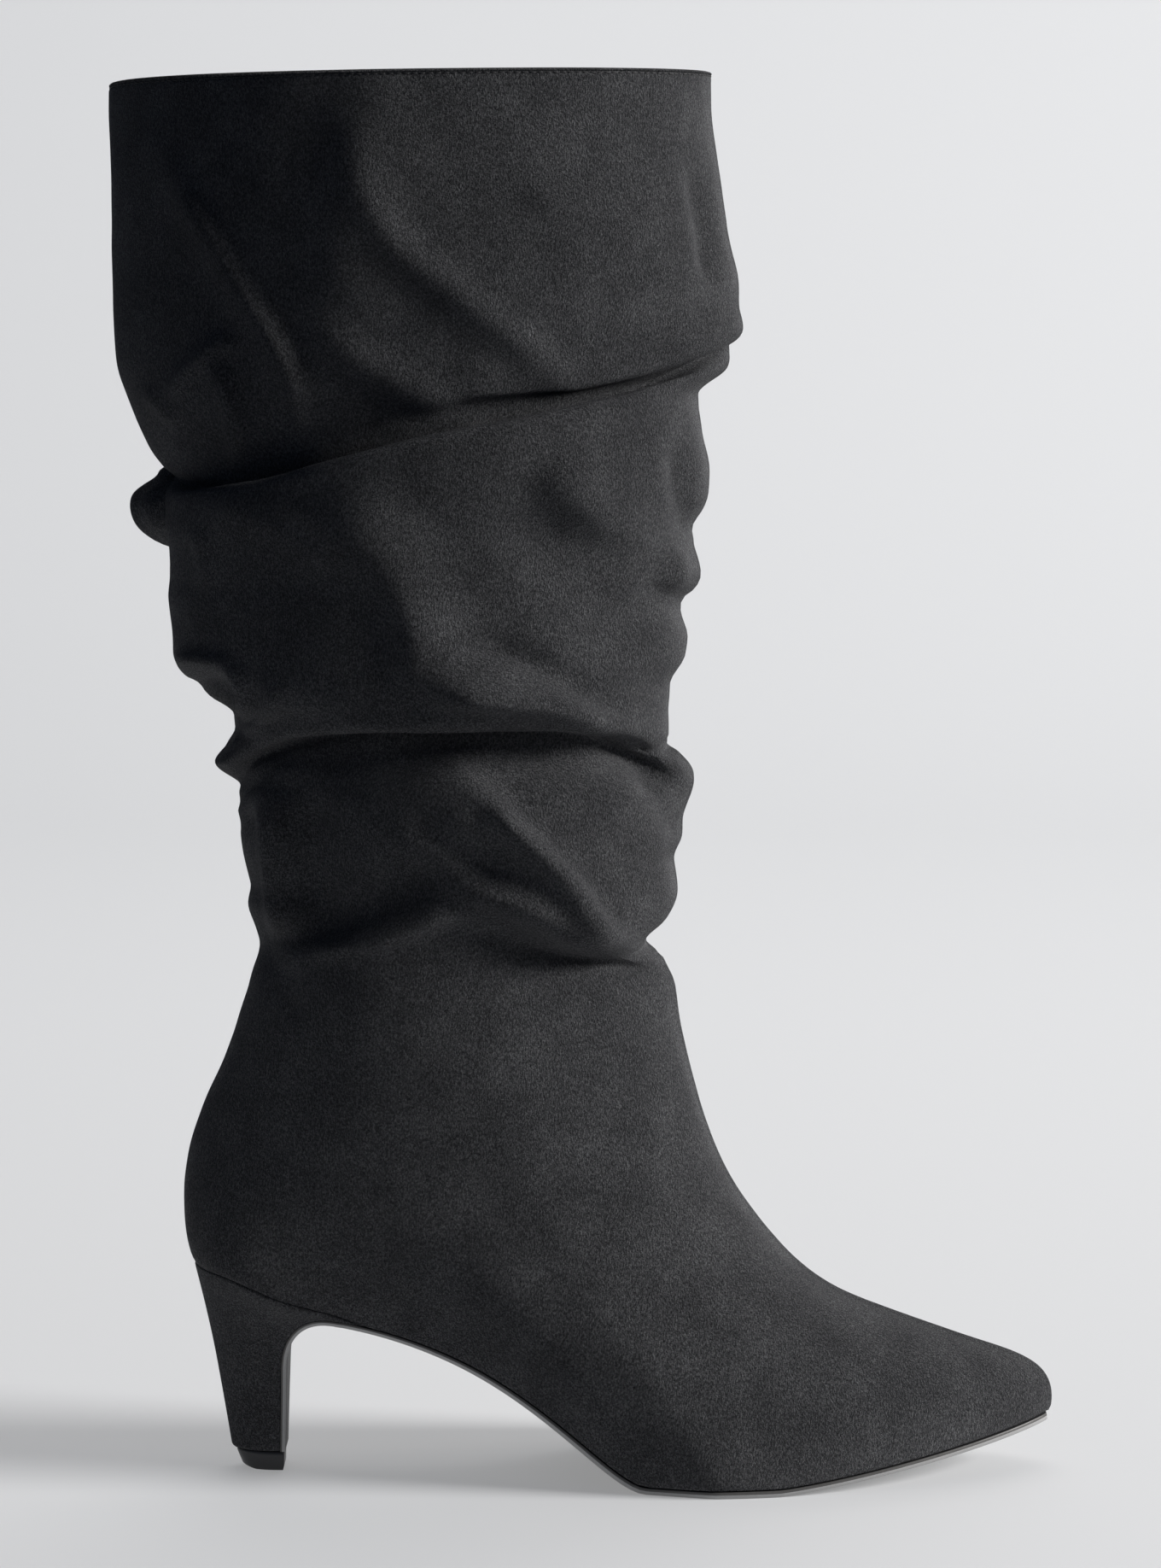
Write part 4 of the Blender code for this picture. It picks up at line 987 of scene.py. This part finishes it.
heelSizes = {
    "inset": 0.0003,  # the top edge behind the upper's
    "edgeRound": 0.0013,  # the cover's turned-in lower edge
    "topRound": 0.0004, "topStart": 0.985, "topShare": 0.015,
    "wedgeEnd": 0.001,  # the cover's thin front end, behind the place where upper and sole meet
    "around": 56, "climbs": 44, "blend": 3.0,
}
heelBack = seatBack + heelSizes["inset"]


def backLoop(count):
    # From the front on the outer side around the back to the inner side: share forward, and side
    angle = np.pi * (np.linspace(0, 1, count) - 0.5)
    return 1 - np.cos(angle), np.where(angle < 0, -1, 1)


def heelLoop(back, front, climb, bow, shrink):
    share, side = backLoop(heelSizes["around"] + 1)
    x = mix(back[0] + shrink, front[0], share)
    rounding = seatRounding(share)
    full = outlineAt(mix(heelBack, front[0], share), side)
    full = np.clip(full - heelSizes["inset"], 0, None)
    half = mix((soleSizes["stemWidth"] / 2) * rounding, full, heelSpread(climb)) - shrink * rounding
    chord = mix(boot["heelHeight"], seatHeight(front[0]), share)
    z = mix(back[1], front[1], share) + bow * (seatHeight(x) - chord)
    return np.column_stack([x, side * np.clip(half, 0, None), z])


def makeHeel():
    line, normal, climbs = soleLine()
    last = np.flatnonzero(climbs < 1)[-1]
    low, high = soleSizes["tipHeight"] + seamGap, boot["heelHeight"] - seamGap
    radius = heelSizes["edgeRound"]
    early = [climbs[last] * (radius / (high - low)) * (1 - math.cos(math.radians(a)))
             for a in range(0, 91, 18)]
    steps = early + list(np.linspace(early[-1], climbs[last], heelSizes["climbs"])[1:])
    loops = []
    for climb in steps:
        at = np.array([np.interp(climb, climbs, line[:, k]) for k in (0, 1)])
        way = np.array([np.interp(climb, climbs, normal[:, k]) for k in (0, 1)])
        front = at + way * (boot["waistThickness"] + seamGap)
        if climb == 0:
            front[1] = low
        back = (mix(stemBack, heelBack, heelBackLine(climb)), mix(low, high, climb))
        rise = back[1] - low
        shrink = radius - math.sqrt(max(radius ** 2 - max(radius - rise, 0) ** 2, 0))
        nearTop = max(0, (climb - heelSizes["topStart"]) / heelSizes["topShare"])
        shrink += heelSizes["topRound"] * nearTop ** 2 * 0.5
        loops.append(heelLoop(back, front, climb, climb ** heelSizes["blend"], shrink))
    topX = seatFront - heelSizes["wedgeEnd"]
    top = heelLoop((heelBack, high), (topX, seatHeight(topX)), 1.0, 0.0, heelSizes["topRound"] / 2)
    top[:, 2] = seatHeight(top[:, 0]) - seamGap
    loops.append(top)
    count = len(top)
    ends = [tuple(range(count))]
    first = (len(loops) - 1) * count
    for k in range(heelSizes["around"] // 2):
        a, b, c, d = first + k, first + k + 1, first + count - 2 - k, first + count - 1 - k
        ends.append((a, b, d) if b == c else (a, b, c, d))
    heel = newObject("heelBlock", np.array(loops), [suede], ends)
    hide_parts("heel")
    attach(heel, "root")


tipSizes = {
    "length": 0.013, "width": 0.014, "edge": 0.00035, "around": 41,
    "backIn": 0.0011, "frontIn": 0.0006, "narrower": 0.0018, "topIn": 0.0002,  # its top behind the stem
    "wearRise": 0.0011, "wearReach": 0.34, "wearCurve": 1.2,  # the worn rear corner
}


def makeTip():
    height, edge, topIn = soleSizes["tipHeight"], tipSizes["edge"], tipSizes["topIn"]
    share, side = backLoop(tipSizes["around"])
    wear = tipSizes["wearRise"] * clamp(1 - share / tipSizes["wearReach"]) ** tipSizes["wearCurve"]
    rings = []
    for rise, shrink in ((0, edge), (roundMiddle * edge, roundMiddle * edge), (edge, 0), (0.45 * height, 0),
                         (0.8 * height, 0), (height - edge, topIn), (height, topIn + edge)):
        up = rise / height
        back = mix(-tipSizes["length"] / 2, stemBack + tipSizes["backIn"], up) + shrink
        front = mix(tipSizes["length"] / 2, boot["stemFront"] - tipSizes["frontIn"], up) - shrink
        half = mix(tipSizes["width"], soleSizes["stemWidth"] - tipSizes["narrower"], up) / 2 - shrink
        y = side * half * seatRounding(share)
        rings.append(np.column_stack([mix(back, front, share), y, rise + wear * (1 - up)]))
    tip = newObject("heelTip", np.array(rings), [plain["tipRubber"]])
    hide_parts("heel_tip")
    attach(tip, "root")


insoleSizes = {
    "inset": 0.0026, "thick": 0.0028, "round": 0.0006, "steps": 110,
    "backGap": 0.003, "toeGap": 0.0035,
    "least": 0.005,  # it ends where half of its width is less than this
    "dish": 0.0006,  # how much lower the middle is
}


def makeInsole():
    along = (1 - np.cos(np.linspace(0, np.pi, insoleSizes["steps"]))) / 2
    x = mix(seatBack + insoleSizes["backGap"], toeEdge - insoleSizes["toeGap"], along)
    edges = {side: outlineAt(x, side) - insoleSizes["inset"] * np.hypot(1, slopeAt(outlineAt, x, side))
             for side in (-1, 1)}
    keep = np.minimum(edges[-1], edges[1]) > insoleSizes["least"]
    r, thick = insoleSizes["round"], insoleSizes["thick"]
    profile = ((0.35 * r, 0.0), (0.0, roundMiddle * r), (0.0, thick - r),
               (roundMiddle * r, thick - roundMiddle * r), (r, thick))
    rings = []
    for i in np.flatnonzero(keep):
        low = float(seatHeight(x[i])) + seamGap
        ring = [(x[i], swing(x[i]) + s * (edges[s][i] - inward), low + rise)
                for s, points in ((-1, profile), (1, profile[::-1])) for inward, rise in points]
        middle = (np.array(ring[4]) + np.array(ring[5])) / 2
        ring.insert(5, tuple(middle - np.array([0, 0, insoleSizes["dish"]])))
        rings.append(ring)
    board = newObject("sockBoard", np.array(rings), [plain["sockCloth"]])
    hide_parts("insole")
    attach(board, "root")


makeOutsole()
makeHeel()
makeTip()
makeInsole()
print("sole, heel, tip and insole made")

# Stitches along the collar

stitchSizes = {
    "Pitch": 0.0023, "Stitch Length": 0.0019, "Thickness": 0.0005, "Lean": 0.1, "Seed": 7,
    "flat": 0.8,
    "rows": 20,  # rows of cloth below the collar's edge where the thread may lie
    "lift": 0.00006,  # the thread's middle above the drawn-in cloth
}


def stitchNodes():
    inputs = {"Geometry": "Geometry", "Pitch": "Float", "Stitch Length": "Float", "Thickness": "Float",
              "Lean": "Float", "Seed": "Int", "Thread": "Material"}
    tree, given, end = newGroup("stitchRow", "GeometryNodeTree", inputs, {"Geometry": "Geometry"})

    def step(kind, output, inputs=None, **settings):
        return addNode(tree, kind, inputs, **settings).outputs[output]

    curve = step("GeometryNodeMeshToCurve", "Curve", {"Mesh": given["Geometry"]})
    points = step("GeometryNodeResampleCurve", "Curve",
                  {"Curve": curve, "Length": given["Pitch"]}, mode="LENGTH")
    bead = step("GeometryNodeMeshUVSphere", "Mesh", {"Segments": 8, "Rings": 5, "Radius": 0.5})
    flat = calculate(tree, "MULTIPLY", given["Thickness"], stitchSizes["flat"])
    size = step("ShaderNodeCombineXYZ", 0, {"X": given["Stitch Length"], "Y": flat, "Z": given["Thickness"]})
    along = step("GeometryNodeInputTangent", "Tangent")
    turn = step("FunctionNodeAlignRotationToVector", "Rotation", {"Vector": along}, axis="X")
    least = calculate(tree, "MULTIPLY", given["Lean"], -1.0)
    spread = {2: least, 3: given["Lean"], "Seed": given["Seed"]}
    lean = step("FunctionNodeRandomValue", 1, spread, data_type="FLOAT")
    tilt = step("ShaderNodeCombineXYZ", 0, {"Y": lean})
    tilt = step("FunctionNodeEulerToRotation", "Rotation", {"Euler": tilt})
    bend = step("FunctionNodeRotateRotation", "Rotation",
                {"Rotation": turn, "Rotate By": tilt}, rotation_space="LOCAL")
    row = step("GeometryNodeInstanceOnPoints", "Instances",
               {"Points": points, "Instance": bead, "Rotation": bend, "Scale": size})
    whole = step("GeometryNodeRealizeInstances", "Geometry", {"Geometry": row})
    threaded = {"Geometry": whole, "Material": given["Thread"]}
    setInputs(end, {"Geometry": step("GeometryNodeSetMaterial", "Geometry", threaded)})
    return tree


def collarLine():
    # A line for the thread a little below the collar's edge, just above the cloth
    count, columns = stitchSizes["rows"], np.arange(len(turns))
    strip, out = clothGrid[-count:], normals[-count:]
    drops = clothGrid[-1][None, :, 2] - strip[:, :, 2]
    rows = np.array([np.interp(-upperSizes["stitchDrop"], -drops[:, j], np.arange(count)) for j in columns])
    low = np.floor(rows).astype(int)
    line = mix(strip[low, columns], strip[low + 1, columns], (rows - low)[:, None])
    return line + out[low, columns] * stitchSizes["lift"]


def stitchRow(name, line):
    mesh = bpy.data.meshes.new(name + "Line")
    mesh.from_pydata([tuple(p) for p in line], [(i, (i + 1) % len(line)) for i in range(len(line))], [])
    guide = addObject(name + "Line", mesh)
    modifier = guide.modifiers.new("stitches", "NODES")
    modifier.node_group = stitchTree
    for socket in stitchTree.interface.items_tree:
        if socket.in_out == "INPUT" and socket.name in stitchSizes:
            modifier[socket.identifier] = stitchSizes[socket.name]
        elif socket.in_out == "INPUT" and socket.name == "Thread":
            modifier[socket.identifier] = plain["thread"]
    found = bpy.context.evaluated_depsgraph_get()
    result = bpy.data.meshes.new_from_object(guide.evaluated_get(found), depsgraph=found)
    guide.modifiers.remove(modifier)
    bpy.data.objects.remove(guide)
    result.shade_smooth()
    row = addObject(name, result)
    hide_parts("upper")
    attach(row, "root")
    print(name, len(result.polygons), "faces")


stitchTree = stitchNodes()
stitchRow("collarStitches", collarLine())
